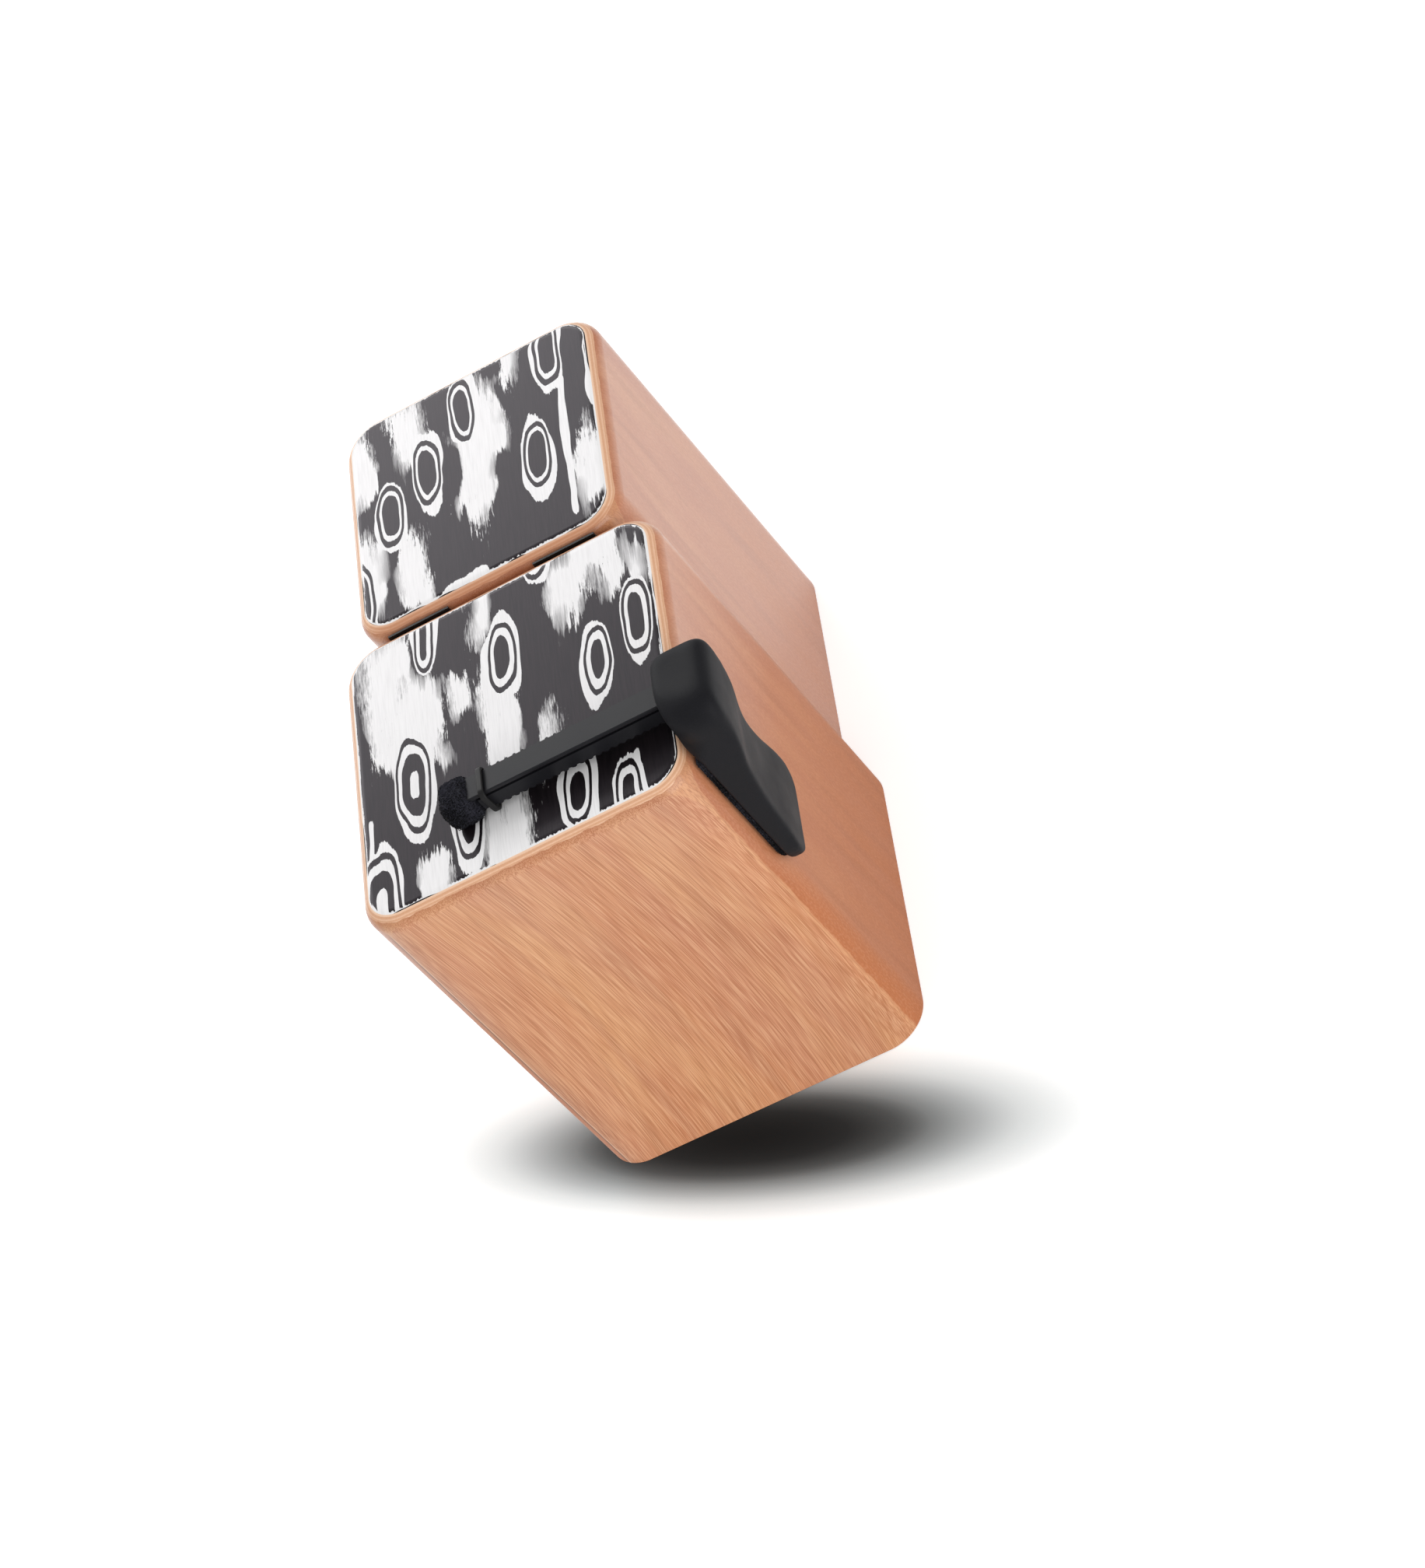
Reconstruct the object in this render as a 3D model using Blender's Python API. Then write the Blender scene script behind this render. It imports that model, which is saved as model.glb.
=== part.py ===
# A pair of plywood box drums, one large and one small, joined side by side, with a rattle
# on a moulded arm that is held to the large box's right wall by hook and loop pads.
# Units are metres and +Z is up. Both boxes stand on their open rims with the playing faces
# on top. The large box is at -Y, the small one at +Y, and the rattle's arm is at +X.

import math

import bmesh
import bpy
from mathutils import Vector

MM = 0.001

# Boxes
LARGE_WIDTH = 180.0 * MM
LARGE_DEPTH = 183.0 * MM
SMALL_WIDTH = 152.0 * MM
SMALL_DEPTH = 155.5 * MM
BOX_HEIGHT = 227.5 * MM
SMALL_SHIFT_X = -3.5 * MM
WALL = 9.0 * MM
CORNER_RADIUS = 21.5 * MM
EDGE_RADIUS = 8.6 * MM
VENEER = 0.6 * MM
TOP_PLATE = 3.0 * MM
BATTEN = 15.0 * MM
BATTEN_RIM_GAP = 4.0 * MM
GAP = 0.3 * MM
# How far a cutting shape runs past what it cuts
MARGIN = 10.0 * MM
SHORT_MARGIN = 5.0 * MM

# What joins the boxes
SPACER = 1.2 * MM
SPACER_WIDTH = 35.0 * MM
SPACER_REACH = 42.0 * MM
SPACER_TOP_DROP = 5.0 * MM
SPACER_HEIGHT = 190.0 * MM
BOLT_RADIUS = 2.5 * MM
BOLT_END_DISTANCE = 30.0 * MM
BOLT_HEAD_RADIUS = 5.0 * MM
BOLT_HEAD = 3.0 * MM
BOLT_TIP = 3.0 * MM
WASHER_RADIUS = 7.5 * MM
WASHER = 1.2 * MM
NUT_RADIUS = 4.6 * MM
NUT = 4.0 * MM

# Rattle arm, measured from the playing face (up) and from the large box's right wall (out)
ARM_NEAR_EDGE = 10.7 * MM
ARM_RISE = 26.0 * MM
ARM_DROP = 96.5 * MM
ARM_TIP_RADIUS = 16.0 * MM
ARM_BACK_RADIUS = 1.6 * MM
ARM_RIDGE_RADIUS = 2.2 * MM
ARM_FAR_RADIUS = 5.0 * MM
HEAD_NEAR_FILLET = 15.0 * MM
HEAD_TOP_FILLET = 6.5 * MM
HEAD_INNER_FILLET = 4.0 * MM
HEAD_OVERHANG = 3.0 * MM
HEAD_RIDGE_RADIUS = 6.0 * MM
HEAD_CORNER_RADIUS = 18.0 * MM
HEAD_CORNER_START = -5.0 * MM
HEAD_CORNER_FULL = 5.0 * MM
# How far the arm's outer face stands off its back, and its width, at heights from the face
ARM_THICKNESS = ((26.0, 23.5), (12.0, 23.6), (-8.0, 20.3), (-22.0, 16.2), (-35.0, 13.7),
                 (-50.0, 11.6), (-75.0, 9.4), (-96.5, 6.4))
ARM_WIDTH = ((26.0, 48.5), (8.0, 47.5), (-9.0, 46.5), (-28.0, 42.5), (-48.0, 47.0),
             (-70.0, 54.0), (-84.0, 56.0), (-96.5, 55.5))
HOOK_PAD = 1.0 * MM
LOOP_PAD = 1.0 * MM
PAD_INSET = 1.5 * MM
PAD_BOTTOM_INSET = 2.5 * MM
PAD_TOP_DROP = 12.0 * MM

# Rattle bar: a smooth rail over a toothed clapper, with a felt end and a rubber ring
BAR_NEAR = 36.0 * MM
BAR_WIDTH = 14.3 * MM
BAR_TOP = 15.0 * MM
BAR_LENGTH = 117.0 * MM
RAIL = 2.4 * MM
RAIL_CORE_WIDTH = 7.0 * MM
RAIL_CORE_DROP = 3.2 * MM
BAR_EDGE = 0.5 * MM
CLAPPER_PLAY = 0.9 * MM
CLAPPER_BOTTOM = 3.6 * MM
CLAPPER_WALL = 2.2 * MM
CLAPPER_SOLID_END = 6.0 * MM
TOOTH_PITCH = 4.45 * MM
TOOTH_DEPTH = 1.0 * MM
# One tooth: shares of the pitch, each with its share of the tooth's depth
TOOTH_SHAPE = ((0.12, 0.0), (0.3, 0.75), (0.5, 1.0), (0.7, 0.75), (0.88, 0.0))
RIB_RADIUS = 1.0 * MM
RIB_COUNT = 11
RIB_START = 10.0 * MM
RIB_INSET = 0.3 * MM
RIB_SINK = 0.1 * MM
TENON = 15.0 * MM
TENON_ROOT = 4.0 * MM
TENON_WIDTH_SHARE = 0.7
TENON_INSET_LOW = 0.2 * MM
TENON_INSET_HIGH = 0.4 * MM
TONGUE_WIDTH = 8.0 * MM
TONGUE_HEIGHT = 4.6 * MM
TONGUE_INSET = 0.1 * MM
TONGUE_ROOT = 5.0 * MM
TONGUE_OVER_PIN = 0.4 * MM
TONGUE_PLAY = 0.7 * MM
PIN_RADIUS = 1.25 * MM
PIN_INSET = 6.5 * MM
PIN_EMBED = 6.0 * MM
RING_WIDTH = 3.8 * MM
RING_WALL = 1.7 * MM
RING_CLEARANCE = 1.35 * MM
RING_FROM_END = 20.0 * MM
RING_INNER_CORNER = 2.0 * MM
# The ring's section: shares of its wall outwards and of its width along the bar
RING_SECTION = ((0.0, -0.5), (0.0, 0.5), (0.75, 0.5), (1.0, 0.28), (1.0, -0.28), (0.75, -0.5))
END_PAD_WALL = 2.2 * MM
END_PAD_LENGTH = 15.0 * MM
END_PAD_RADIUS = 3.0 * MM
END_PAD_DRAW_IN = 1.2 * MM

ARC_STEPS = 12
EDGE_STEPS = 6

# Worked out from the values above
FACE = BOX_HEIGHT
WALL_TOP = FACE - VENEER - GAP - TOP_PLATE - GAP
BOX_GAP = SPACER + 2.0 * GAP
PAIR_DEPTH = LARGE_DEPTH + BOX_GAP + SMALL_DEPTH
ARM_STANDOFF = GAP + LOOP_PAD + GAP + HOOK_PAD + GAP
ARM_BACK = LARGE_WIDTH / 2.0 + ARM_STANDOFF
ARM_FACE = ARM_BACK + max(depth for height, depth in ARM_THICKNESS) * MM
ORIGIN_X = (ARM_FACE - LARGE_WIDTH / 2.0) / 2.0
ORIGIN_Y = PAIR_DEPTH / 2.0
HEAD_INNER = LARGE_WIDTH / 2.0 - HEAD_OVERHANG
BAR_END = HEAD_INNER - BAR_LENGTH
BAR_FAR = BAR_NEAR + BAR_WIDTH
BAR_MID = BAR_NEAR + BAR_WIDTH / 2.0
RAIL_BOTTOM = FACE + BAR_TOP - RAIL
CLAPPER_TOP = RAIL_BOTTOM - CLAPPER_PLAY
PIN_X = HEAD_INNER + PIN_INSET
PIN_Y = BAR_MID
PIN_Z = CLAPPER_TOP - TONGUE_HEIGHT / 2.0
RING_AXIS_Z = FACE + (BAR_TOP + CLAPPER_BOTTOM) / 2.0


def make_material(name, color, roughness, metallic=0.0):
    material = bpy.data.materials.new(name)
    material.use_nodes = True
    shader = material.node_tree.nodes["Principled BSDF"]
    shader.inputs["Base Color"].default_value = (*color, 1.0)
    shader.inputs["Roughness"].default_value = roughness
    shader.inputs["Metallic"].default_value = metallic
    material.diffuse_color = (*color, 1.0)
    return material


def make_object(name, mesh, parent=None, material=None):
    obj = bpy.data.objects.new(name, mesh)
    bpy.context.collection.objects.link(obj)
    obj.parent = parent
    if material is not None:
        mesh.materials.clear()
        mesh.materials.append(material)
    return obj


def make_empty(name, location, parent=None):
    empty = bpy.data.objects.new(name, None)
    bpy.context.collection.objects.link(empty)
    empty.location = location
    empty.parent = parent
    return empty


def mesh_from(bm, name, smooth_angle=30.0):
    bmesh.ops.recalc_face_normals(bm, faces=bm.faces)
    mesh = bpy.data.meshes.new(name)
    bm.to_mesh(mesh)
    bm.free()
    mesh.shade_smooth()
    mesh.set_sharp_from_angle(angle=math.radians(smooth_angle))
    return mesh


def box_mesh(name, low, high):
    bm = bmesh.new()
    bmesh.ops.create_cube(bm, size=1.0)
    for vert in bm.verts:
        for axis in range(3):
            share = vert.co[axis] + 0.5
            vert.co[axis] = low[axis] + share * (high[axis] - low[axis])
    return mesh_from(bm, name)


def loft_mesh(name, rings, smooth_angle=30.0):
    """Joins rings of equally many points into one closed body with flat ends."""
    bm = bmesh.new()
    loops = [[bm.verts.new(point) for point in ring] for ring in rings]
    count = len(loops[0])
    for lower, upper in zip(loops, loops[1:]):
        for i in range(count):
            j = (i + 1) % count
            bm.faces.new((lower[i], lower[j], upper[j], upper[i]))
    bm.faces.new(loops[0])
    bm.faces.new(loops[-1])
    return mesh_from(bm, name, smooth_angle)


def prism_mesh(name, outline, start, stop, axis):
    """Extrudes an outline of 2-D points along one axis, from start to stop."""
    others = [i for i in range(3) if i != axis]
    rings = []
    for level in (start, stop):
        ring = []
        for point in outline:
            place = [0.0, 0.0, 0.0]
            place[others[0]], place[others[1]] = point
            place[axis] = level
            ring.append(place)
        rings.append(ring)
    return loft_mesh(name, rings)


def rod_mesh(name, radius, start, stop, center, axis, sides=24):
    step = 2.0 * math.pi / sides
    outline = [(center[0] + radius * math.cos(i * step), center[1] + radius * math.sin(i * step))
               for i in range(sides)]
    return prism_mesh(name, outline, start, stop, axis)


def rounded_outline(x0, x1, y0, y1, radii, steps):
    """A rectangle with round corners, in the order near-right, far-right, far-left, near-left."""
    corners = ((x1, y0, -90.0), (x1, y1, 0.0), (x0, y1, 90.0), (x0, y0, 180.0))
    points = []
    for (x, y, first), radius in zip(corners, radii):
        center_x = x - radius if x == x1 else x + radius
        center_y = y - radius if y == y1 else y + radius
        for i in range(steps + 1):
            angle = math.radians(first + 90.0 * i / steps)
            points.append((center_x + radius * math.cos(angle), center_y + radius * math.sin(angle)))
    return points


def cutter(name, mesh, parent=None):
    obj = make_object(name, mesh, parent)
    obj.hide_render = True
    obj.display_type = "WIRE"
    return obj


def add_boolean(obj, tool, operation):
    modifier = obj.modifiers.new(tool.name, "BOOLEAN")
    modifier.operation = operation
    modifier.object = tool
    modifier.solver = "EXACT"


def cut_box(obj, name, low, high, parent):
    """Cuts a rectangular space out of an object."""
    add_boolean(obj, cutter(name, box_mesh(name, low, high), parent), "DIFFERENCE")


def smooth_value(table, height):
    """Reads a table of (height, value) pairs, highest first, along a Catmull-Rom curve."""
    heights = [row[0] for row in table]
    values = [row[1] for row in table]
    height = min(max(height, heights[-1]), heights[0])
    i = 0
    while i < len(table) - 2 and height < heights[i + 1]:
        i += 1
    share = (heights[i] - height) / (heights[i] - heights[i + 1])

    def slope(k):
        low = max(k - 1, 0)
        high = min(k + 1, len(table) - 1)
        return (values[high] - values[low]) / (heights[low] - heights[high])

    span = heights[i] - heights[i + 1]
    s2 = share * share
    s3 = s2 * share
    return ((2 * s3 - 3 * s2 + 1) * values[i] + (s3 - 2 * s2 + share) * span * slope(i)
            + (3 * s2 - 2 * s3) * values[i + 1] + (s3 - s2) * span * slope(i + 1))


def envelope_mesh(name, width, depth):
    """The outside of one box: round upright corners and a rounded edge at the playing face."""
    half = width / 2.0
    edge_start = FACE - EDGE_RADIUS
    levels = [(-SHORT_MARGIN, 0.0), (edge_start, 0.0)]
    for i in range(1, EDGE_STEPS + 1):
        angle = math.radians(90.0 * i / EDGE_STEPS)
        levels.append((edge_start + EDGE_RADIUS * math.sin(angle), EDGE_RADIUS * (1.0 - math.cos(angle))))
    rings = []
    for height, inset in levels:
        radius = max(CORNER_RADIUS - inset, 1.0 * MM)
        outline = rounded_outline(-half + inset, half - inset, inset, depth - inset, [radius] * 4, ARC_STEPS)
        rings.append([(x, y, height) for x, y in outline])
    return loft_mesh(name, rings)


def build_box(label, parent, width, depth, bolt_side):
    """Four walls, a top plate, its patterned veneer and four corner battens of one open box.

    The box's own origin is at the middle of its near wall, on the floor.
    """
    half = width / 2.0
    wide = half + MARGIN
    near = -MARGIN
    far = depth + MARGIN
    side_near = WALL + GAP
    side_far = depth - WALL - GAP
    shape = cutter(label + "_envelope", envelope_mesh(label + "_envelope", width, depth), parent)
    cells = {
        "front_wall": ((-wide, near, 0.0), (wide, WALL, WALL_TOP)),
        "rear_wall": ((-wide, depth - WALL, 0.0), (wide, far, WALL_TOP)),
        "left_wall": ((-wide, side_near, 0.0), (-half + WALL, side_far, WALL_TOP)),
        "right_wall": ((half - WALL, side_near, 0.0), (wide, side_far, WALL_TOP)),
        "top_plate": ((-wide, near, WALL_TOP + GAP), (wide, far, FACE - VENEER - GAP)),
        "face_veneer": ((-wide, near, FACE - VENEER), (wide, far, FACE + MARGIN)),
    }
    pieces = {}
    for part, (low, high) in cells.items():
        name = label + "_" + part
        material = MATERIALS["veneer"] if part == "face_veneer" else MATERIALS["plywood"]
        pieces[part] = make_object(name, box_mesh(name, low, high), parent, material)
        add_boolean(pieces[part], shape, "INTERSECT")

    corner = BATTEN + GAP
    for front, y0 in (("front", WALL + GAP), ("rear", depth - WALL - corner)):
        for side, x0 in (("left", -half + WALL + GAP), ("right", half - WALL - corner)):
            name = label + "_batten_" + front + "_" + side
            low = (x0, y0, BATTEN_RIM_GAP)
            high = (x0 + BATTEN, y0 + BATTEN, WALL_TOP)
            make_object(name, box_mesh(name, low, high), parent, MATERIALS["batten"])

    outer_face = depth if bolt_side == "rear_wall" else 0.0
    for x, z, tag in bolt_places():
        drill = rod_mesh("hole", BOLT_RADIUS + GAP, -MARGIN, MARGIN, (0.0, 0.0), 1)
        hole = cutter(label + "_bolt_hole_" + tag, drill, parent)
        hole.location = (x - parent.location.x, outer_face, z)
        add_boolean(pieces[bolt_side], hole, "DIFFERENCE")


def bolt_places():
    """Where the four joining bolts run, in the large box's frame."""
    top = FACE - SPACER_TOP_DROP - BOLT_END_DISTANCE
    bottom = FACE - SPACER_TOP_DROP - SPACER_HEIGHT + BOLT_END_DISTANCE
    for side, sign in (("left", -1.0), ("right", 1.0)):
        for level, z in (("upper", top), ("lower", bottom)):
            yield SMALL_SHIFT_X + sign * SPACER_REACH, z, side + "_" + level


def build_joint_between_boxes(parent):
    """Two rubber spacer strips and the four bolts, washers and nuts that clamp them."""
    start = LARGE_DEPTH + GAP
    top = FACE - SPACER_TOP_DROP
    for side, sign in (("left", -1.0), ("right", 1.0)):
        x = SMALL_SHIFT_X + sign * SPACER_REACH
        low = (x - SPACER_WIDTH / 2.0, start, top - SPACER_HEIGHT)
        high = (x + SPACER_WIDTH / 2.0, start + SPACER, top)
        name = "spacer_" + side
        strip = make_object(name, box_mesh(name, low, high), parent, MATERIALS["rubber"])
        for bolt_x, bolt_z, tag in bolt_places():
            if tag.startswith(side):
                drill = rod_mesh("hole", BOLT_RADIUS + GAP, -MARGIN, MARGIN, (0.0, 0.0), 1)
                hole = cutter("spacer_hole_" + tag, drill, parent)
                hole.location = (bolt_x, start, bolt_z)
                add_boolean(strip, hole, "DIFFERENCE")

    near_face = LARGE_DEPTH - WALL - GAP
    far_face = LARGE_DEPTH + BOX_GAP + WALL + GAP
    head_end = near_face - WASHER - GAP
    nut_start = far_face + WASHER + GAP
    for x, z, tag in bolt_places():
        for side, y in (("front", near_face - WASHER), ("rear", far_face)):
            ring = washer_mesh("washer", WASHER_RADIUS, BOLT_RADIUS + GAP, y, y + WASHER)
            washer = make_object("washer_" + side + "_" + tag, ring, parent, MATERIALS["steel"])
            washer.location = (x, 0.0, z)
        bolt = make_object("bolt_" + tag, bolt_mesh("bolt", head_end, nut_start + NUT + BOLT_TIP), parent,
                           MATERIALS["steel"])
        bolt.location = (x, 0.0, z)
        hexagon = washer_mesh("nut", NUT_RADIUS, BOLT_RADIUS + GAP, nut_start, nut_start + NUT, 6)
        nut = make_object("nut_" + tag, hexagon, parent, MATERIALS["steel"])
        nut.location = (x, 0.0, z)


def washer_mesh(name, outer, inner, start, stop, sides=24):
    """A flat ring round the Y axis; with six sides it is a nut."""
    bm = bmesh.new()
    count = 24
    rings = []
    for level in (start, stop):
        for radius, corners in ((outer, sides), (inner, count)):
            ring = []
            for i in range(count):
                angle = 2.0 * math.pi * i / count
                reach = radius
                if corners < count:
                    sector = 2.0 * math.pi / corners
                    reach = radius * math.cos(sector / 2.0) / math.cos(angle % sector - sector / 2.0)
                ring.append(bm.verts.new((reach * math.cos(angle), level, reach * math.sin(angle))))
            rings.append(ring)
    outer_low, inner_low, outer_high, inner_high = rings
    for i in range(count):
        j = (i + 1) % count
        bm.faces.new((outer_low[i], outer_low[j], outer_high[j], outer_high[i]))
        bm.faces.new((inner_high[i], inner_high[j], inner_low[j], inner_low[i]))
        bm.faces.new((outer_low[j], outer_low[i], inner_low[i], inner_low[j]))
        bm.faces.new((outer_high[i], outer_high[j], inner_high[j], inner_high[i]))
    return mesh_from(bm, name)


def bolt_mesh(name, head_end, tip):
    """A pan-head bolt along the Y axis, turned from one profile of (radius, place) points."""
    profile = ((BOLT_HEAD_RADIUS * 0.7, head_end - BOLT_HEAD), (BOLT_HEAD_RADIUS, head_end - BOLT_HEAD * 0.6),
               (BOLT_HEAD_RADIUS, head_end), (BOLT_RADIUS, head_end), (BOLT_RADIUS, tip))
    count = 20
    angles = [2.0 * math.pi * i / count for i in range(count)]
    rings = []
    for radius, place in profile:
        rings.append([(radius * math.cos(angle), place, radius * math.sin(angle)) for angle in angles])
    return loft_mesh(name, rings)


def arm_levels():
    """Heights of the arm's slices from the playing face, closer together at both ends."""
    low = -ARM_DROP
    high = ARM_RISE
    levels = []
    tip_steps = 8
    for i in range(tip_steps):
        levels.append(low + ARM_TIP_RADIUS * (1.0 - math.cos(math.radians(90.0 * i / tip_steps))))
    head_steps = 9
    straight = 18
    head_start = high - HEAD_NEAR_FILLET
    for i in range(straight):
        levels.append(low + ARM_TIP_RADIUS + (head_start - low - ARM_TIP_RADIUS) * i / straight)
    for i in range(head_steps + 1):
        levels.append(head_start + HEAD_NEAR_FILLET * math.sin(math.radians(90.0 * i / head_steps)))
    return levels


def quarter_inset(radius, distance):
    """How far a quarter-round of this radius draws in, at a distance from its end."""
    if distance >= radius:
        return 0.0
    return radius - math.sqrt(max(radius * radius - (radius - distance) ** 2, 0.0))


def arm_slice(level):
    """The arm's outline in plan at one height: x0, x1, y0, y1 and the four corner radii."""
    above = ARM_RISE - level
    below = level + ARM_DROP
    x0 = ARM_BACK
    x1 = ARM_BACK + smooth_value(ARM_THICKNESS, level / MM) * MM
    y0 = ARM_NEAR_EDGE
    y1 = ARM_NEAR_EDGE + smooth_value(ARM_WIDTH, level / MM) * MM

    # Above the round edge of the box, the head's back reaches in over the playing face
    edge_center = LARGE_WIDTH / 2.0 - EDGE_RADIUS
    reach = ARM_BACK - edge_center
    rise = level + EDGE_RADIUS
    if rise > 0.0:
        hollow = edge_center + math.sqrt(max(reach * reach - rise * rise, 0.0))
        x0 = max(hollow, HEAD_INNER)
    turn = (level - HEAD_CORNER_START) / (HEAD_CORNER_FULL - HEAD_CORNER_START)
    turn = min(max(turn, 0.0), 1.0)
    spread = turn * turn * (3.0 - 2.0 * turn)

    x0 += quarter_inset(HEAD_INNER_FILLET, above)
    x1 -= quarter_inset(HEAD_TOP_FILLET, above) + quarter_inset(ARM_TIP_RADIUS * 0.3, below)
    y0 += quarter_inset(HEAD_NEAR_FILLET, above) + quarter_inset(ARM_TIP_RADIUS, below)
    y1 -= quarter_inset(HEAD_TOP_FILLET, above) + quarter_inset(ARM_TIP_RADIUS, below)
    depth = x1 - x0
    ridge = ARM_RIDGE_RADIUS + (HEAD_RIDGE_RADIUS - ARM_RIDGE_RADIUS) * spread
    inner = ARM_BACK_RADIUS + (HEAD_CORNER_RADIUS - ARM_BACK_RADIUS) * spread
    inner_far = ARM_BACK_RADIUS + (HEAD_TOP_FILLET - ARM_BACK_RADIUS) * spread
    limit = depth * 0.46
    inner = min(inner, depth - ridge - 0.5 * MM)
    radii = [min(ridge, limit), min(ARM_FAR_RADIUS, limit), min(inner_far, limit), inner]
    return x0, x1, y0, y1, radii


def arm_mesh(name):
    rings = []
    for level in arm_levels():
        x0, x1, y0, y1, radii = arm_slice(level)
        outline = rounded_outline(x0, x1, y0, y1, radii, 6)
        rings.append([(x, y, FACE + level) for x, y in outline])
    return loft_mesh(name, rings, 40.0)


def pad_mesh(name, start, stop):
    """A hook or loop pad that follows the arm's outline, a little inside its edge."""
    top = -PAD_TOP_DROP
    bottom = -ARM_DROP + PAD_BOTTOM_INSET
    steps = 14
    near = []
    far = []
    for i in range(steps + 1):
        level = bottom + (top - bottom) * (1.0 - math.cos(math.pi * 0.5 * i / steps))
        x0, x1, y0, y1, radii = arm_slice(level)
        near.append((y0 + PAD_INSET, FACE + level))
        far.append((y1 - PAD_INSET, FACE + level))
    outline = near + far[::-1]
    return prism_mesh(name, outline, start, stop, 0)


def bar_section(width, low, high, edge):
    """A bar's section in Y and Z, with small flats on its edges."""
    near = BAR_MID - width / 2.0
    far = BAR_MID + width / 2.0
    return [(near + edge, low), (far - edge, low), (far, low + edge), (far, high - edge),
            (far - edge, high), (near + edge, high), (near, high - edge), (near, low + edge)]


def build_rail(parent, location):
    """The smooth upper rail, its core in the clapper's channel, its tenon and its row of ribs."""
    x_off, y_off, z_off = location

    def local(outline):
        return [(y - y_off, z - z_off) for y, z in outline]

    top = FACE + BAR_TOP
    start = BAR_END - x_off
    body = prism_mesh("rail", local(bar_section(BAR_WIDTH, RAIL_BOTTOM, top, BAR_EDGE)), start,
                      HEAD_INNER - GAP - x_off, 0)
    rail = make_object("rail", body, parent, MATERIALS["bar"])
    rail.location = location
    core_section = bar_section(RAIL_CORE_WIDTH, RAIL_BOTTOM - RAIL_CORE_DROP, top - RAIL / 2.0, 0.0)
    tongue_clear = PIN_INSET + GAP + TONGUE_HEIGHT
    core = cutter("rail_core", prism_mesh("rail_core", local(core_section), start + END_PAD_LENGTH,
                                          HEAD_INNER - tongue_clear - x_off, 0), parent)
    core.location = location
    add_boolean(rail, core, "UNION")
    tenon_section = bar_section(BAR_WIDTH * TENON_WIDTH_SHARE, RAIL_BOTTOM + TENON_INSET_LOW,
                                top - TENON_INSET_HIGH, 0.0)
    tenon_body = prism_mesh("rail_tenon", local(tenon_section), HEAD_INNER - TENON_ROOT - x_off,
                            HEAD_INNER + TENON - x_off, 0)
    tenon = cutter("rail_tenon", tenon_body, parent)
    tenon.location = location
    add_boolean(rail, tenon, "UNION")
    rib_low = RAIL_BOTTOM + RIB_INSET - z_off
    rib_high = top - BAR_EDGE - z_off
    for i in range(RIB_COUNT):
        x = BAR_END + END_PAD_LENGTH + RIB_START + i * TOOTH_PITCH
        rib = rod_mesh("rib", RIB_RADIUS, rib_low, rib_high, (0.0, 0.0), 2, 8)
        tool = cutter("rail_rib_" + str(i + 1), rib, parent)
        tool.location = (x, BAR_FAR - RIB_SINK, z_off)
        add_boolean(rail, tool, "UNION")


def clapper_mesh(name):
    """The toothed channel under the rail, in the frame of its pin."""
    start = BAR_END + END_PAD_LENGTH + GAP
    stop = HEAD_INNER - GAP
    root = FACE + CLAPPER_BOTTOM + TOOTH_DEPTH
    count = int((stop - start) / TOOTH_PITCH)
    first = start + ((stop - start) - count * TOOTH_PITCH) / 2.0
    points = [(start, CLAPPER_TOP), (start, root)]
    for i in range(count):
        for share, drop in TOOTH_SHAPE:
            points.append((first + (i + share) * TOOTH_PITCH, root - drop * TOOTH_DEPTH))
    points += [(stop, root), (stop, CLAPPER_TOP)]
    outline = [(x - PIN_X, z - PIN_Z) for x, z in points]
    return prism_mesh(name, outline, -BAR_WIDTH / 2.0, BAR_WIDTH / 2.0, 1)


def build_clapper(parent):
    """The clapper turns a little on a pin through the head, so the object's origin is on the pin."""
    clapper = make_object("clapper", clapper_mesh("clapper"), parent, MATERIALS["bar"])
    start = BAR_END + END_PAD_LENGTH - SHORT_MARGIN - PIN_X
    stop = HEAD_INNER - CLAPPER_SOLID_END - PIN_X
    inner = BAR_WIDTH / 2.0 - CLAPPER_WALL
    low = (start, -inner, FACE - PIN_Z - SHORT_MARGIN)
    high = (stop, inner, CLAPPER_TOP - PIN_Z + SHORT_MARGIN)
    cut_box(clapper, "clapper_channel", low, high, parent)
    half_width = TONGUE_WIDTH / 2.0
    half_height = TONGUE_HEIGHT / 2.0
    tongue_low = (HEAD_INNER - TONGUE_ROOT - PIN_X, -half_width, -half_height + TONGUE_INSET)
    tongue_high = (half_height + TONGUE_OVER_PIN, half_width, half_height - TONGUE_INSET)
    tongue = cutter("clapper_tongue", box_mesh("clapper_tongue", tongue_low, tongue_high), parent)
    add_boolean(clapper, tongue, "UNION")
    bore = rod_mesh("clapper_bore", PIN_RADIUS + GAP, -BAR_WIDTH, BAR_WIDTH, (0.0, 0.0), 1)
    add_boolean(clapper, cutter("clapper_bore", bore, parent), "DIFFERENCE")


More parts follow.
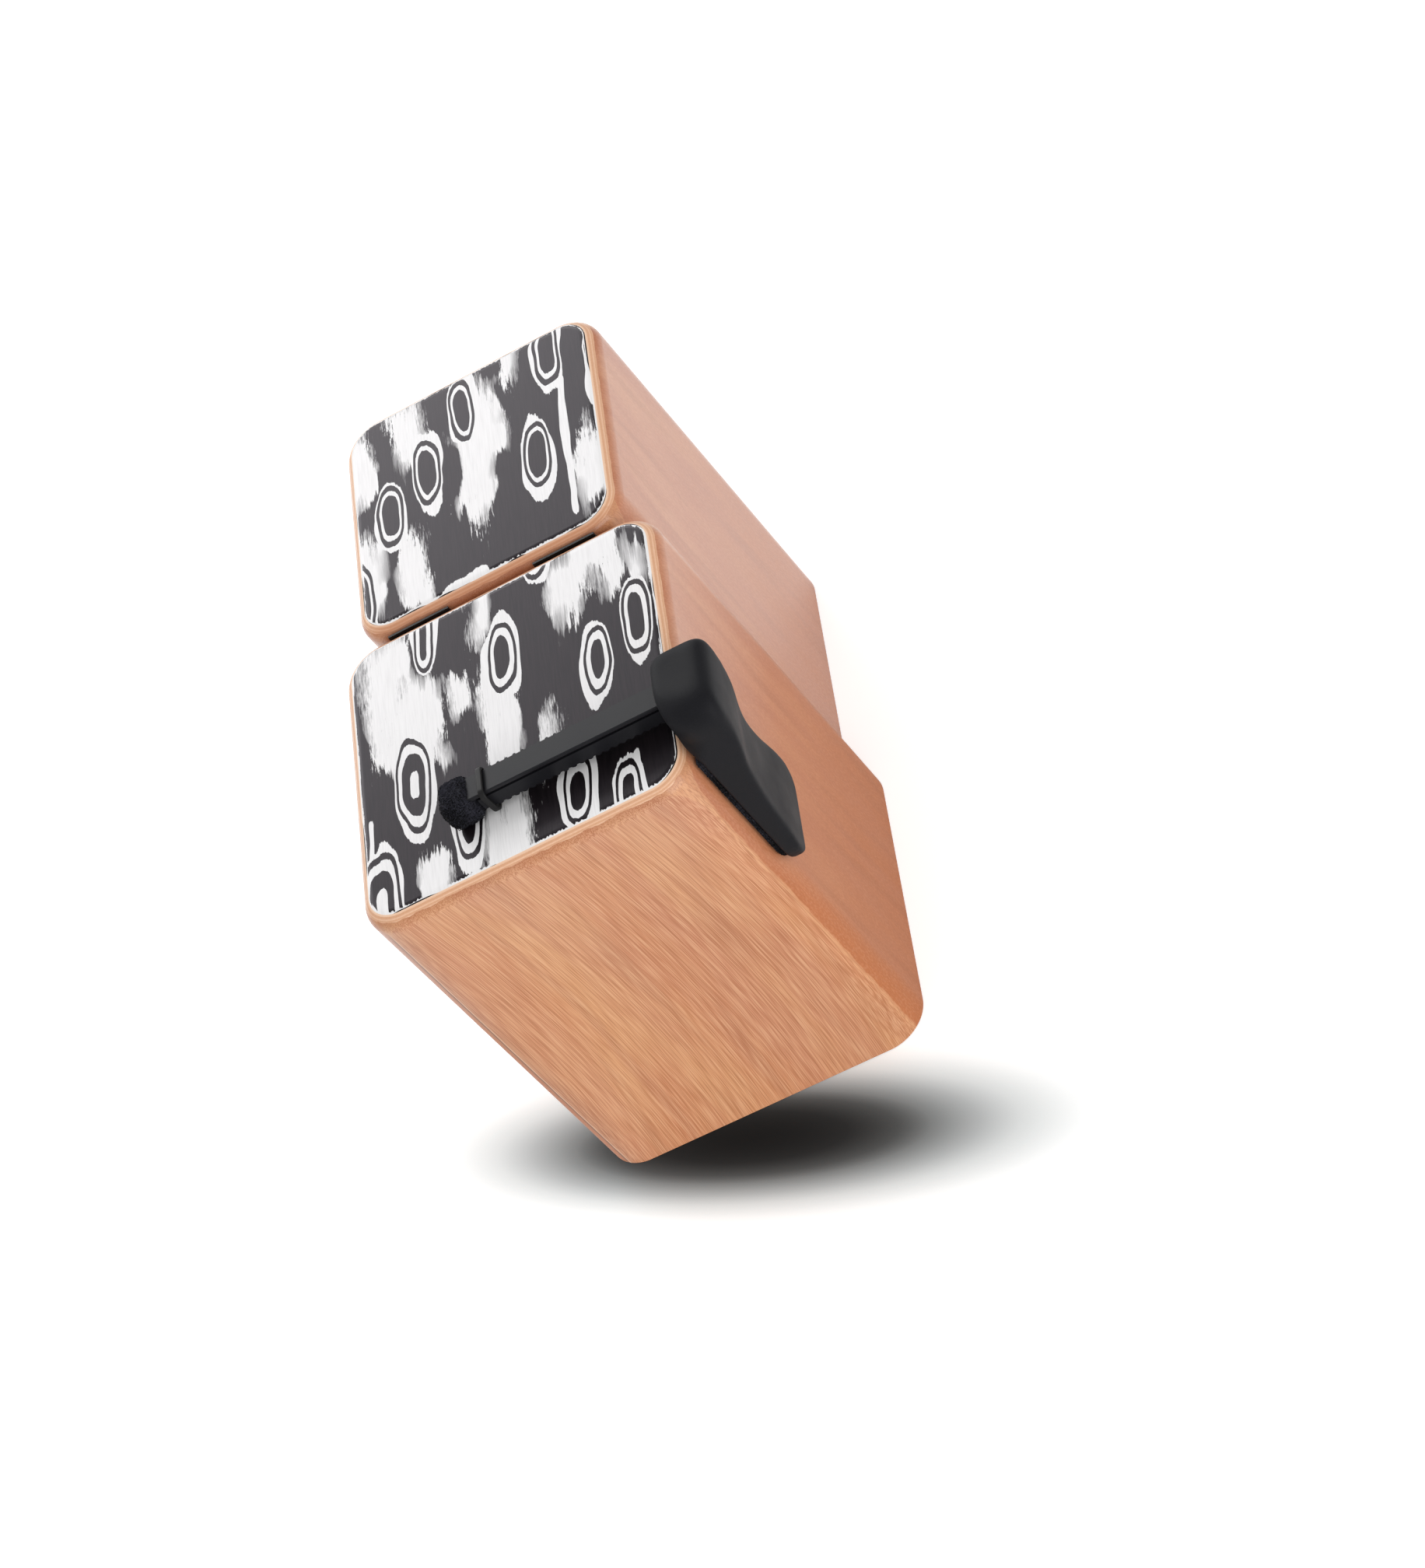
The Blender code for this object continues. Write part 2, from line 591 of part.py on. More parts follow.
def build_ring(parent):
    """The rubber ring round the bar: a loop with round corners and a rounded section."""
    half_y = BAR_WIDTH / 2.0 + RING_CLEARANCE
    low = FACE + CLAPPER_BOTTOM - RING_CLEARANCE
    high = FACE + BAR_TOP + RING_CLEARANCE
    mid = (low + high) / 2.0
    half_z = (high - low) / 2.0
    loops = []
    for out, across in RING_SECTION:
        grow = out * RING_WALL
        outline = rounded_outline(-half_y - grow, half_y + grow, mid - half_z - grow, mid + half_z + grow,
                                  [RING_INNER_CORNER + grow] * 4, 5)
        loops.append([(across * RING_WIDTH, y, z - RING_AXIS_Z) for y, z in outline])
    bm = bmesh.new()
    verts = [[bm.verts.new(point) for point in loop] for loop in loops]
    count = len(verts[0])
    for k in range(len(verts)):
        here = verts[k]
        there = verts[(k + 1) % len(verts)]
        for i in range(count):
            j = (i + 1) % count
            bm.faces.new((here[i], here[j], there[j], there[i]))
    ring = make_object("rubber_ring", mesh_from(bm, "rubber_ring"), parent, MATERIALS["rubber"])
    ring.location = (BAR_END + RING_FROM_END, BAR_MID, RING_AXIS_Z)


def build_end_pad(parent):
    """The felt block round the rail's free end; it rests on the playing face."""
    x0 = BAR_END - END_PAD_WALL
    x1 = BAR_END + END_PAD_LENGTH - GAP
    half = BAR_WIDTH / 2.0 + END_PAD_WALL
    low = FACE + GAP
    high = FACE + BAR_TOP + END_PAD_WALL
    full = END_PAD_DRAW_IN
    part_way = full / 2.0
    rings = []
    for x, inset in ((x0, full), (x0 + full, 0.0), (x1 - part_way, 0.0), (x1, part_way)):
        ring = rounded_outline(-half + inset, half - inset, low + min(inset, part_way), high - inset,
                               [END_PAD_RADIUS] * 4, 3)
        rings.append([(x, BAR_MID + y, z) for y, z in ring])
    pad = make_object("end_pad", loft_mesh("end_pad", rings), parent, MATERIALS["felt"])
    slot_low = (BAR_END - GAP, BAR_NEAR - GAP, RAIL_BOTTOM - GAP)
    slot_high = (x1 + SHORT_MARGIN, BAR_FAR + GAP, FACE + BAR_TOP + GAP)
    cut_box(pad, "end_pad_slot", slot_low, slot_high, parent)


def build_rattle(parent):
    """The arm with everything on it. It pulls off along +X, so its empty is on the arm's back."""
    arm = make_object("arm", arm_mesh("arm"), parent, MATERIALS["arm"])
    mouth = HEAD_INNER - SHORT_MARGIN
    socket_half = BAR_WIDTH * TENON_WIDTH_SHARE / 2.0 + GAP
    socket_low = (mouth, BAR_MID - socket_half, RAIL_BOTTOM + TENON_INSET_LOW - GAP)
    socket_high = (HEAD_INNER + TENON + GAP, BAR_MID + socket_half, FACE + BAR_TOP - TENON_INSET_HIGH + GAP)
    cut_box(arm, "arm_socket", socket_low, socket_high, parent)
    pocket_half = TONGUE_WIDTH / 2.0 + GAP
    pocket_low = (mouth, BAR_MID - pocket_half, PIN_Z - TONGUE_HEIGHT / 2.0 - TONGUE_PLAY)
    pocket_high = (PIN_X + TONGUE_HEIGHT / 2.0 + 2.0 * TONGUE_PLAY, BAR_MID + pocket_half,
                   CLAPPER_TOP + TONGUE_PLAY)
    cut_box(arm, "arm_pocket", pocket_low, pocket_high, parent)
    pin_half = TONGUE_WIDTH / 2.0 + PIN_EMBED
    drill = rod_mesh("arm_pin_bore", PIN_RADIUS + GAP, -pin_half - GAP, pin_half + GAP, (0.0, 0.0), 1)
    bore = cutter("arm_pin_bore", drill, parent)
    bore.location = (PIN_X, PIN_Y, PIN_Z)
    add_boolean(arm, bore, "DIFFERENCE")
    rod = rod_mesh("clapper_pin", PIN_RADIUS, -pin_half, pin_half, (0.0, 0.0), 1)
    pin = make_object("clapper_pin", rod, parent, MATERIALS["steel"])
    pin.location = (PIN_X, PIN_Y, PIN_Z)

    hook_start = ARM_BACK - GAP - HOOK_PAD
    hook = pad_mesh("hook_pad", hook_start, hook_start + HOOK_PAD)
    make_object("hook_pad", hook, parent, MATERIALS["hook"])
    build_rail(parent, (0.0, BAR_MID, FACE))
    build_end_pad(parent)
    hinge = make_empty("clapper_hinge", (PIN_X, PIN_Y, PIN_Z), parent)
    build_clapper(hinge)
    build_ring(parent)


for old in list(bpy.data.objects):
    bpy.data.objects.remove(old, do_unlink=True)

MATERIALS = {
    "plywood": make_material("plywood", (0.62, 0.33, 0.17), 0.45),
    "veneer": make_material("dyed_veneer", (0.55, 0.53, 0.55), 0.35),
    "batten": make_material("batten_pine", (0.70, 0.48, 0.28), 0.6),
    "rubber": make_material("black_rubber", (0.02, 0.02, 0.02), 0.7),
    "steel": make_material("zinc_steel", (0.6, 0.6, 0.6), 0.35, 1.0),
    "arm": make_material("arm_plastic", (0.05, 0.05, 0.055), 0.5),
    "bar": make_material("bar_plastic", (0.04, 0.04, 0.045), 0.45),
    "hook": make_material("hook_tape", (0.02, 0.02, 0.02), 0.9),
    "felt": make_material("loop_felt", (0.015, 0.015, 0.02), 1.0),
}

root = make_empty("pair", Vector((-ORIGIN_X, -ORIGIN_Y, 0.0)))
large_box = make_empty("large_box", (0.0, 0.0, 0.0), root)
small_box = make_empty("small_box", (SMALL_SHIFT_X, LARGE_DEPTH + BOX_GAP, 0.0), root)
build_box("large_box", large_box, LARGE_WIDTH, LARGE_DEPTH, "rear_wall")
build_box("small_box", small_box, SMALL_WIDTH, SMALL_DEPTH, "front_wall")
build_joint_between_boxes(root)
loop_start = LARGE_WIDTH / 2.0 + GAP
make_object("loop_pad", pad_mesh("loop_pad", loop_start, loop_start + LOOP_PAD), root, MATERIALS["felt"])
rattle = make_empty("rattle", (0.0, 0.0, 0.0), root)
build_rattle(rattle)
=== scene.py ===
# %% [markdown]
# # A pair of plywood box drums with a clip-on rattle
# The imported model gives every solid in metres, in one frame: +Z up through the playing
# faces, the large box towards -Y, the rattle's arm towards +X. Shapes that are right stay
# as they are and get the finish of the real material. The boxes, the felt, the tapes and
# the rubber ring are modelled again here, because their finish depends on a finer shape.

# %% Load the frame
import math
import random

import bmesh
import bpy
from mathutils import Matrix, Vector, noise


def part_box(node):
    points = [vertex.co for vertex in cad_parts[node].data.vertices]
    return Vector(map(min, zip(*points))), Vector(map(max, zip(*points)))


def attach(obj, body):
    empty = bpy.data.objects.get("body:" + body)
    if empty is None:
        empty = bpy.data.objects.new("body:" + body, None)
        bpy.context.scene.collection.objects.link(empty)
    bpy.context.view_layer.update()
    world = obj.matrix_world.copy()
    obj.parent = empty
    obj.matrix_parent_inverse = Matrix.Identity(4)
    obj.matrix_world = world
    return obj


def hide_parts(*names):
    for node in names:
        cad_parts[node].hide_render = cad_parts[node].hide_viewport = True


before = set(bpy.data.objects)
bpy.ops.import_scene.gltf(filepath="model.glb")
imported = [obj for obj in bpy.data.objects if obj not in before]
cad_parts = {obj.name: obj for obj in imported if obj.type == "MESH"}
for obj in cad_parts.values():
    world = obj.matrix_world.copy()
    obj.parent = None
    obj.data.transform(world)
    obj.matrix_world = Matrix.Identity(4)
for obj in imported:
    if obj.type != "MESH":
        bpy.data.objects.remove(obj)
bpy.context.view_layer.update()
MM = 0.001
print("nodes:", len(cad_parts))

# %% [markdown]
# ## Camera
# The picture was taken from high up and to the right, and rolled, so that the boxes seem
# to tumble forwards. One matrix holds the place, the direction and the roll together.

# %% Camera
camera_data = bpy.data.cameras.new("photo_camera")
camera_data.sensor_width = 36.0
camera_data.lens = 101.2573
camera_data.clip_start = 0.05
camera_data.clip_end = 20.0
camera = bpy.data.objects.new("photo_camera", camera_data)
bpy.context.scene.collection.objects.link(camera)
camera.matrix_world = Matrix((
    (0.8563414812, 0.4154291749, 0.3067537248, 0.6953031421),
    (-0.1112614125, 0.7284837365, -0.6759677529, -1.5217841864),
    (-0.5042818189, 0.5447293520, 0.6700520515, 1.5577450991),
    (0.0, 0.0, 0.0, 1.0),
))
bpy.context.scene.camera = camera
bpy.context.scene.view_settings.view_transform = "Standard"
print("camera at", [round(value, 3) for value in camera.location])

# %% [markdown]
# ## Helpers for materials
# A colour is written as the eye sees it, in sRGB, and turned to linear light by one
# function. A material is a graph, and one small function adds a node with its settings,
# its values and its links, so that each finish reads as a list of steps.


# %% Helpers for materials
def linear(color):
    """sRGB hex to a linear RGBA colour."""
    channels = [int(color[i:i + 2], 16) / 255.0 for i in (1, 3, 5)]
    return [c / 12.92 if c <= 0.04045 else ((c + 0.055) / 1.055) ** 2.4 for c in channels] + [1.0]


def add(tree, kind, inputs=None, output=None, stops=None, **settings):
    """Adds a node, sets it up, and returns the output that the next step reads."""
    node = tree.nodes.new("ShaderNode" + kind)
    for name, value in settings.items():
        setattr(node, name, value)
    if stops:
        elements = node.color_ramp.elements
        elements[0].position = stops[0][0]
        elements[-1].position = stops[-1][0]
        for place, color in stops[1:-1]:
            elements.new(place)
        for element, (place, color) in zip(elements, stops):
            element.color = linear(color)
    for name, value in (inputs or {}).items():
        if isinstance(value, bpy.types.NodeSocket):
            tree.links.new(value, node.inputs[name])
        else:
            node.inputs[name].default_value = value
    if output:
        return node.outputs[output]
    return next((socket for socket in node.outputs if socket.enabled), None)


def new_material(name):
    material = bpy.data.materials.new(name)
    material.use_nodes = True
    material.node_tree.nodes.clear()
    return material, material.node_tree


def per(size_mm):
    """The texture scale that gives features of this size, on coordinates in metres."""
    return 1000.0 / size_mm


# %% [markdown]
# ## Sizes of the boxes
# The walls, plates and veneers are read from the frame, so that the finished pieces fill
# exactly the place of the solids that they stand for.


# %% Sizes of the boxes
WALL = 9.0 * MM
CORNER_RADIUS = 21.5 * MM
EDGE_RADIUS = 8.6 * MM
BOXES = {}
for label in ("large_box", "small_box"):
    veneer_low, veneer_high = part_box(label + "_face_veneer")
    plate_low, plate_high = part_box(label + "_top_plate")
    BOXES[label] = {
        "x0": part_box(label + "_left_wall")[0].x,
        "x1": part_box(label + "_right_wall")[1].x,
        "y0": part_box(label + "_front_wall")[0].y,
        "y1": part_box(label + "_rear_wall")[1].y,
        "plate_low": plate_low.z,
        "veneer_low": veneer_low.z,
        "face": veneer_high.z,
    }
    print(label, {key: round(value / MM, 2) for key, value in BOXES[label].items()})

# %% [markdown]
# ## Lacquered plywood
# The walls are 9 mm plywood under two outer layers of red-brown wood. The rim of the face
# is rounded with a cutter, which goes through the red-brown skin and shows the plies as
# stripes. So the colour is worked out from depth: the skin by its distance below the
# rounded outline, the plies by their distance below the face. The stripes then fall in the
# right places on every curve without being drawn. At each upright corner the front's skin
# and the side's meet in a seam, and the cutter has opened it to an arch below the face.
# The grain is fine lines that bow a little up the wall, over pinkish and yellowish clouds.
# A gloss lacquer makes the walls look paler where they are seen at a slant, and on the large
# box it has worn thin towards the floor. Low on the side walls the skin is painted darker and
# deeper orange as painted shade, and painted shade darkens the joint between the boxes.


# %% Lacquered plywood
SKIN = 2.2 * MM
WALL_PLY = 1.38 * MM
PLATE_PLY = 0.53 * MM
SEAM_RIGHT = math.radians(45.5)
SEAM_LEFT = math.radians(36.0)
GRAIN_BOW = 0.54
GAP_MIDDLE = (BOXES["large_box"]["y1"] + BOXES["small_box"]["y0"]) / 2.0


def mix_color(tree, factor, under, over):
    """One colour over another. Either is a socket or a hex colour."""
    under, over = (linear(c) if isinstance(c, str) else c for c in (under, over))
    return add(tree, "Mix", {0: factor, 6: under, 7: over}, data_type="RGBA")


def math_node(tree, operation, *values):
    return add(tree, "Math", dict(enumerate(values)), operation=operation)


def vector_node(tree, operation, *values):
    return add(tree, "VectorMath", dict(enumerate(values)), operation=operation)


def grain_noise(tree, point, across_mm, stretch, detail, distortion=0.0):
    """Noise that is drawn out along Z, as wood fibres are. Its features are across_mm wide."""
    drawn = add(tree, "Mapping", {0: point, "Scale": (1.0, 1.0, stretch)})
    return add(tree, "TexNoise", {"Vector": drawn, "Scale": per(across_mm), "Detail": detail,
                                  "Distortion": distortion})


def lacquered_plywood(name, box, seed, low_gloss):
    material, tree = new_material(name)
    place = add(tree, "TexCoord", output="Object")
    along, height = add(tree, "SeparateXYZ", {0: place}).node.outputs[1:]
    middle = Vector(((box["x0"] + box["x1"]) / 2.0, (box["y0"] + box["y1"]) / 2.0, 0.0))
    half = Vector((box["x1"], box["y1"], 0.0)) - middle

    # Plan position, measured from the centre of the nearest corner's arc
    centered = vector_node(tree, "SUBTRACT", place, middle)
    arc_center = half - Vector((CORNER_RADIUS, CORNER_RADIUS, 0.0))
    beyond = vector_node(tree, "SUBTRACT", vector_node(tree, "ABSOLUTE", centered), arc_center)
    plan = vector_node(tree, "MULTIPLY", beyond, (1.0, 1.0, 0.0))
    u, v = add(tree, "SeparateXYZ", {0: plan}).node.outputs[:2]
    outward = vector_node(tree, "MAXIMUM", plan, (0.0, 0.0, 0.0))
    round_part = add(tree, "VectorMath", {0: outward}, output="Value", operation="LENGTH")
    flat_part = math_node(tree, "MINIMUM", math_node(tree, "MAXIMUM", u, v), 0.0)
    outline = math_node(tree, "ADD", round_part, flat_part)
    skin_depth = math_node(tree, "SUBTRACT", CORNER_RADIUS, outline)
    end_depth = math_node(tree, "SUBTRACT", CORNER_RADIUS, v)
    side_depth = math_node(tree, "SUBTRACT", CORNER_RADIUS, u)

    # Plies: alternate tones, with a thin dark glue line between them
    in_end = math_node(tree, "LESS_THAN", end_depth, WALL + 0.5 * MM)
    panel_depth = add(tree, "Mix", {0: in_end, 2: side_depth, 3: end_depth})
    slow = add(tree, "TexNoise", {"Vector": place, "Scale": per(16.0), "Detail": 2.0})
    wander = add(tree, "MapRange", {0: slow, 1: 0.3, 2: 0.7, 3: -0.1 * MM, 4: 0.1 * MM})
    wall_count = math_node(tree, "DIVIDE", math_node(tree, "ADD", panel_depth, wander), WALL_PLY)
    below_veneer = math_node(tree, "SUBTRACT", box["veneer_low"], height)
    plate_depth = math_node(tree, "ADD", below_veneer, math_node(tree, "MULTIPLY", wander, 0.6))
    plate_count = math_node(tree, "DIVIDE", plate_depth, PLATE_PLY)
    in_plate = math_node(tree, "GREATER_THAN", height, box["plate_low"] - 0.05 * MM)
    count = add(tree, "Mix", {0: in_plate, 2: wall_count, 3: plate_count})
    within = math_node(tree, "FRACT", count)
    parity = math_node(tree, "MODULO", math_node(tree, "FLOOR", count), 2.0)
    fibre = grain_noise(tree, place, 0.8, 0.2, 3.0)
    tone = add(tree, "MapRange", {0: math_node(tree, "ADD", parity, fibre), 1: 0.2, 2: 1.7})
    plies = add(tree, "ValToRGB", {0: tone},
                stops=((0.0, "#F2C6A4"), (0.45, "#E8B48F"), (1.0, "#DEA781")))
    glue_share = add(tree, "Mix", {0: in_plate, 2: 0.6, 3: 0.15})
    glue = add(tree, "MapRange", {0: within, 1: 0.08, 2: 0.2, 3: glue_share, 4: 0.0})
    core = mix_color(tree, glue, plies, "#AE7450")

    under_face = add(tree, "MapRange", {0: below_veneer, 1: 0.2 * MM, 2: 0.45 * MM, 3: 0.8, 4: 0.0})
    core = mix_color(tree, under_face, core, "#F7D2B4")

    # Skins: clouds of tone, and fine dark and light lines along the grain
    rise = math_node(tree, "SUBTRACT", height, 0.11)
    bow = math_node(tree, "MULTIPLY", math_node(tree, "MULTIPLY", rise, rise), GRAIN_BOW)
    bowed = vector_node(tree, "ADD", place, add(tree, "CombineXYZ", {"X": bow, "Y": seed, "Z": seed}))
    cloud = grain_noise(tree, bowed, 20.0, 0.2, 1.0, 0.3)
    blush = grain_noise(tree, vector_node(tree, "ADD", bowed, (0.7, 0.7, 0.7)), 26.0, 0.22, 2.0)
    broad_lines = grain_noise(tree, bowed, 0.4, 0.012, 0.0)
    fine_lines = grain_noise(tree, bowed, 0.27, 0.014, 0.0)
    lines = add(tree, "Mix", {0: 0.62, 2: broad_lines, 3: fine_lines})
    specks = grain_noise(tree, bowed, 0.8, 0.4, 1.0)
    end_skin = add(tree, "ValToRGB", {0: cloud},
                   stops=((0.36, "#CB8A62"), (0.5, "#D09268"), (0.64, "#D59A6E")))
    side_skin = add(tree, "ValToRGB", {0: cloud},
                    stops=((0.36, "#BC744D"), (0.5, "#C5815C"), (0.64, "#CC8C67")))
    pink_share = add(tree, "MapRange", {0: blush, 1: 0.42, 2: 0.66, 3: 0.0, 4: 0.5})
    end_skin = mix_color(tree, pink_share, end_skin, "#C5866A")
    # Painted shade: towards the floor the side skin is painted darker and deeper orange
    painted_low_shade = add(tree, "MapRange", {0: height, 1: 0.17, 2: 0.05, 3: 0.0, 4: 0.85})
    side_skin = mix_color(tree, painted_low_shade, side_skin, "#BD7448")
    dark_share = add(tree, "MapRange", {0: lines, 1: 0.52, 2: 0.34, 3: 0.0, 4: 0.5})
    light_share = add(tree, "MapRange", {0: lines, 1: 0.48, 2: 0.66, 3: 0.0, 4: 0.48})
    streak = grain_noise(tree, bowed, 9.0, 0.1, 0.0)
    streak_share = add(tree, "MapRange", {0: streak, 1: 0.56, 2: 0.72, 3: 0.0, 4: 0.28})
    end_skin = mix_color(tree, streak_share, end_skin, "#AC7355")
    side_skin = mix_color(tree, streak_share, side_skin, "#A8643C")
    end_skin = mix_color(tree, dark_share, end_skin, "#A0643F")
    end_skin = mix_color(tree, light_share, end_skin, "#E9BA92")
    dark_speck = add(tree, "MapRange", {0: specks, 1: 0.5, 2: 0.36, 3: 0.0, 4: 0.12})
    light_speck = add(tree, "MapRange", {0: specks, 1: 0.5, 2: 0.64, 3: 0.0, 4: 0.12})
    side_skin = mix_color(tree, dark_speck, side_skin, "#9C5F42")
    side_skin = mix_color(tree, light_speck, side_skin, "#E0AE8C")
    side_skin = mix_color(tree, math_node(tree, "MULTIPLY", dark_share, 0.4), side_skin, "#9C5F42")

    # The seam at each corner, by its distance from a line through the arc's centre
    on_right = math_node(tree, "GREATER_THAN", add(tree, "SeparateXYZ", {0: centered}, output="X"), 0.0)
    cosine = add(tree, "Mix", {0: on_right, 2: math.cos(SEAM_LEFT), 3: math.cos(SEAM_RIGHT)})
    sine = add(tree, "Mix", {0: on_right, 2: math.sin(SEAM_LEFT), 3: math.sin(SEAM_RIGHT)})
    past = math_node(tree, "SUBTRACT", math_node(tree, "MULTIPLY", u, cosine),
                     math_node(tree, "MULTIPLY", v, sine))
    jitter = grain_noise(tree, place, 7.0, 0.8, 3.0)
    swing = add(tree, "Mix", {0: on_right, 2: 0.15 * MM, 3: 0.5 * MM})
    sway = add(tree, "MapRange", {0: jitter, 1: 0.3, 2: 0.7, 3: -1.0, 4: 1.0})
    wavy = math_node(tree, "ADD", past, math_node(tree, "MULTIPLY", sway, swing))
    on_side = math_node(tree, "GREATER_THAN", wavy, 0.0)
    skin = mix_color(tree, on_side, end_skin, side_skin)
    below_face = math_node(tree, "SUBTRACT", box["face"], height)
    fall = add(tree, "Mix", {0: on_right, 2: 4.2 * MM, 3: 8.5 * MM})
    peak = add(tree, "Mix", {0: on_right, 2: 26.0 * MM, 3: 17.0 * MM})
    decay = math_node(tree, "EXPONENT", math_node(tree, "DIVIDE", math_node(tree, "MULTIPLY", below_face, -1.0), fall))
    flare = math_node(tree, "MULTIPLY", peak, decay)
    width = math_node(tree, "ADD", flare, add(tree, "Mix", {0: on_right, 2: 0.1 * MM, 3: 1.3 * MM}))
    away = math_node(tree, "MULTIPLY", wavy, add(tree, "Mix", {0: on_side, 2: -1.0, 3: 1.6}))
    seam = add(tree, "MapRange", {0: math_node(tree, "SUBTRACT", away, width),
                                  1: -0.4 * MM, 2: 0.4 * MM, 3: 0.55, 4: 0.0})
    seam_color = mix_color(tree, dark_share, "#DDA579", "#A3674A")
    skin = mix_color(tree, seam, skin, seam_color)
    on_left = math_node(tree, "SUBTRACT", 1.0, on_right)
    for offset, reach, strength, color in ((-1.0, 0.7, 0.6, "#F0C8A8"), (0.2, 0.9, 0.85, "#85604C")):
        away = math_node(tree, "ABSOLUTE", math_node(tree, "SUBTRACT", wavy, offset * MM))
        line = add(tree, "MapRange", {0: away, 1: 0.4 * reach * MM, 2: reach * MM, 3: strength, 4: 0.0})
        fade = add(tree, "MapRange", {0: below_face, 1: 8.0 * MM, 2: 16.0 * MM})
        line = math_node(tree, "MULTIPLY", math_node(tree, "MULTIPLY", line, on_left), fade)
        skin = mix_color(tree, line, skin, color)

    # The cutter has warmed the skin towards its edge. Painted shade darkens the skin and the plies in the joint
    # between the boxes
    on_end = math_node(tree, "GREATER_THAN", v, u)
    burnt = add(tree, "MapRange", {0: skin_depth, 1: 0.2 * MM, 2: SKIN, 3: 0.0, 4: 0.35})
    burnt = math_node(tree, "MULTIPLY", burnt, on_end)
    skin = mix_color(tree, burnt, skin, "#B26B44")
    from_gap = math_node(tree, "ABSOLUTE", math_node(tree, "SUBTRACT", along, GAP_MIDDLE))
    painted_joint_shade_skin = add(tree, "MapRange", {0: from_gap, 1: 1.2 * MM, 2: 5.0 * MM, 3: 0.55, 4: 0.0})
    skin = mix_color(tree, painted_joint_shade_skin, skin, "#8A4728")
    # Painted shade on the plies, reaching farther from the joint
    painted_joint_shade_plies = add(tree, "MapRange", {0: from_gap, 1: 1.2 * MM, 2: 9.5 * MM, 3: 0.6, 4: 0.15})
    painted_joint_shade_plies = math_node(tree, "MULTIPLY", painted_joint_shade_plies, math_node(tree, "LESS_THAN", from_gap, 12.0 * MM))
    core = mix_color(tree, painted_joint_shade_plies, core, "#B8693A")

    # The skin ends at its own thickness in shallow scallops, and never covers the plate's middle
    ragged = grain_noise(tree, place, 9.0, 1.0, 3.0)
    scallop = add(tree, "MapRange", {0: ragged, 1: 0.3, 2: 0.7, 3: -0.35 * MM, 4: 0.35 * MM})
    scallop = math_node(tree, "MULTIPLY", scallop, add(tree, "Mix", {0: on_end, 2: 0.35, 3: 1.0}))
    cut = math_node(tree, "ADD", skin_depth, scallop)
    bare = add(tree, "MapRange", {0: cut, 1: SKIN - 0.1 * MM, 2: SKIN + 0.1 * MM})
    color = mix_color(tree, bare, skin, core)

    relief = math_node(tree, "SUBTRACT", light_share, dark_share)
    bump = add(tree, "Bump", {"Strength": 0.3, "Distance": 0.05 * MM, "Height": relief})
    rough = add(tree, "MapRange", {0: cloud, 1: 0.3, 2: 0.7, 3: 0.42, 4: 0.52})
    coat = add(tree, "MapRange", {0: height, 1: 0.12, 2: 0.24, 3: low_gloss, 4: 0.8})
    shader = add(tree, "BsdfPrincipled", {
        "Base Color": color, "Roughness": rough, "Normal": bump, "Specular IOR Level": 0.2,
        "Coat Weight": coat, "Coat Roughness": 0.2})
    add(tree, "OutputMaterial", {"Surface": shader})
    return material


PLYWOOD = {
    "large_box": lacquered_plywood("lacquered_plywood_large", BOXES["large_box"], 0.0, 0.0),
    "small_box": lacquered_plywood("lacquered_plywood_small", BOXES["small_box"], 1.3, 0.8),
}
print("plywood:", [material.name for material in PLYWOOD.values()])

# %% [markdown]
# ## Dyed figured veneer
# Black and white dyed sheets are stacked, pressed over bumps and sliced flat. A slice cuts
# each bump in an eye of nested rings, stretched along the grain, and where it runs nearly
# level with a sheet, the sheet's edge frays into streaks. The pattern is made the same
# way: the distance from a bump, plus how deep that bump is cut, picks the band of colour,
# and fine noise drawn out along the grain pushes the edges to and fro. Creases give thin
# white lines. The layout of the bumps is our own. The lacquer is glossy enough to mirror
# what stands on the face.


# %% Dyed figured veneer
GRAIN_SQUEEZE = 0.37
BAND_REACH = 16.0
LAST_BAND = 9.9
THICK_BANDS = ((0.0, "#FFFFFF"), (2.2, "#000000"), (6.2, "#FFFFFF"), (8.4, "#000000"), (LAST_BAND, "#FFFFFF"))
THIN_BANDS = ((0.0, "#FFFFFF"), (2.2, "#000000"), (6.9, "#FFFFFF"), (8.2, "#000000"), (LAST_BAND, "#FFFFFF"))


def bump_distance(tree, point, x, y, half_x, half_y):
    """Distance from a bump, in squeezed millimetres. Its level lines are rounded."""
    away = vector_node(tree, "SUBTRACT", point, (x, y * GRAIN_SQUEEZE, 0.0))
    size = vector_node(tree, "ABSOLUTE", away)
    over = vector_node(tree, "SUBTRACT", size, (half_x, half_y * GRAIN_SQUEEZE, 0.0))
    kept = vector_node(tree, "MAXIMUM", over, (0.0, 0.0, 0.0))
    return add(tree, "VectorMath", {0: kept}, output="Value", operation="LENGTH")


def nearest(tree, point, bumps, softness):
    """The level of the nearest of several bumps, each with its own cut, merged smoothly."""
    result = None
    for x, y, half_x, half_y, cut in bumps:
        level = math_node(tree, "ADD", bump_distance(tree, point, x, y, half_x, half_y), cut)
        result = level if result is None else math_node(tree, "SMOOTH_MIN", result, level, softness)
    return result


def push_along(tree, point, amount, strength):
    shift = add(tree, "CombineXYZ", {"Y": math_node(tree, "MULTIPLY", amount, strength)})
    return vector_node(tree, "ADD", point, shift)


def bend(tree, point, seeded, size_mm, strength):
    wave = add(tree, "TexNoise", {"Vector": seeded, "Scale": 1.0 / size_mm, "Detail": 1.0}, output="Color")
    swing = vector_node(tree, "SUBTRACT", wave, (0.5, 0.5, 0.5))
    return vector_node(tree, "ADD", point, vector_node(tree, "MULTIPLY", swing, (strength, strength, 0.0)))


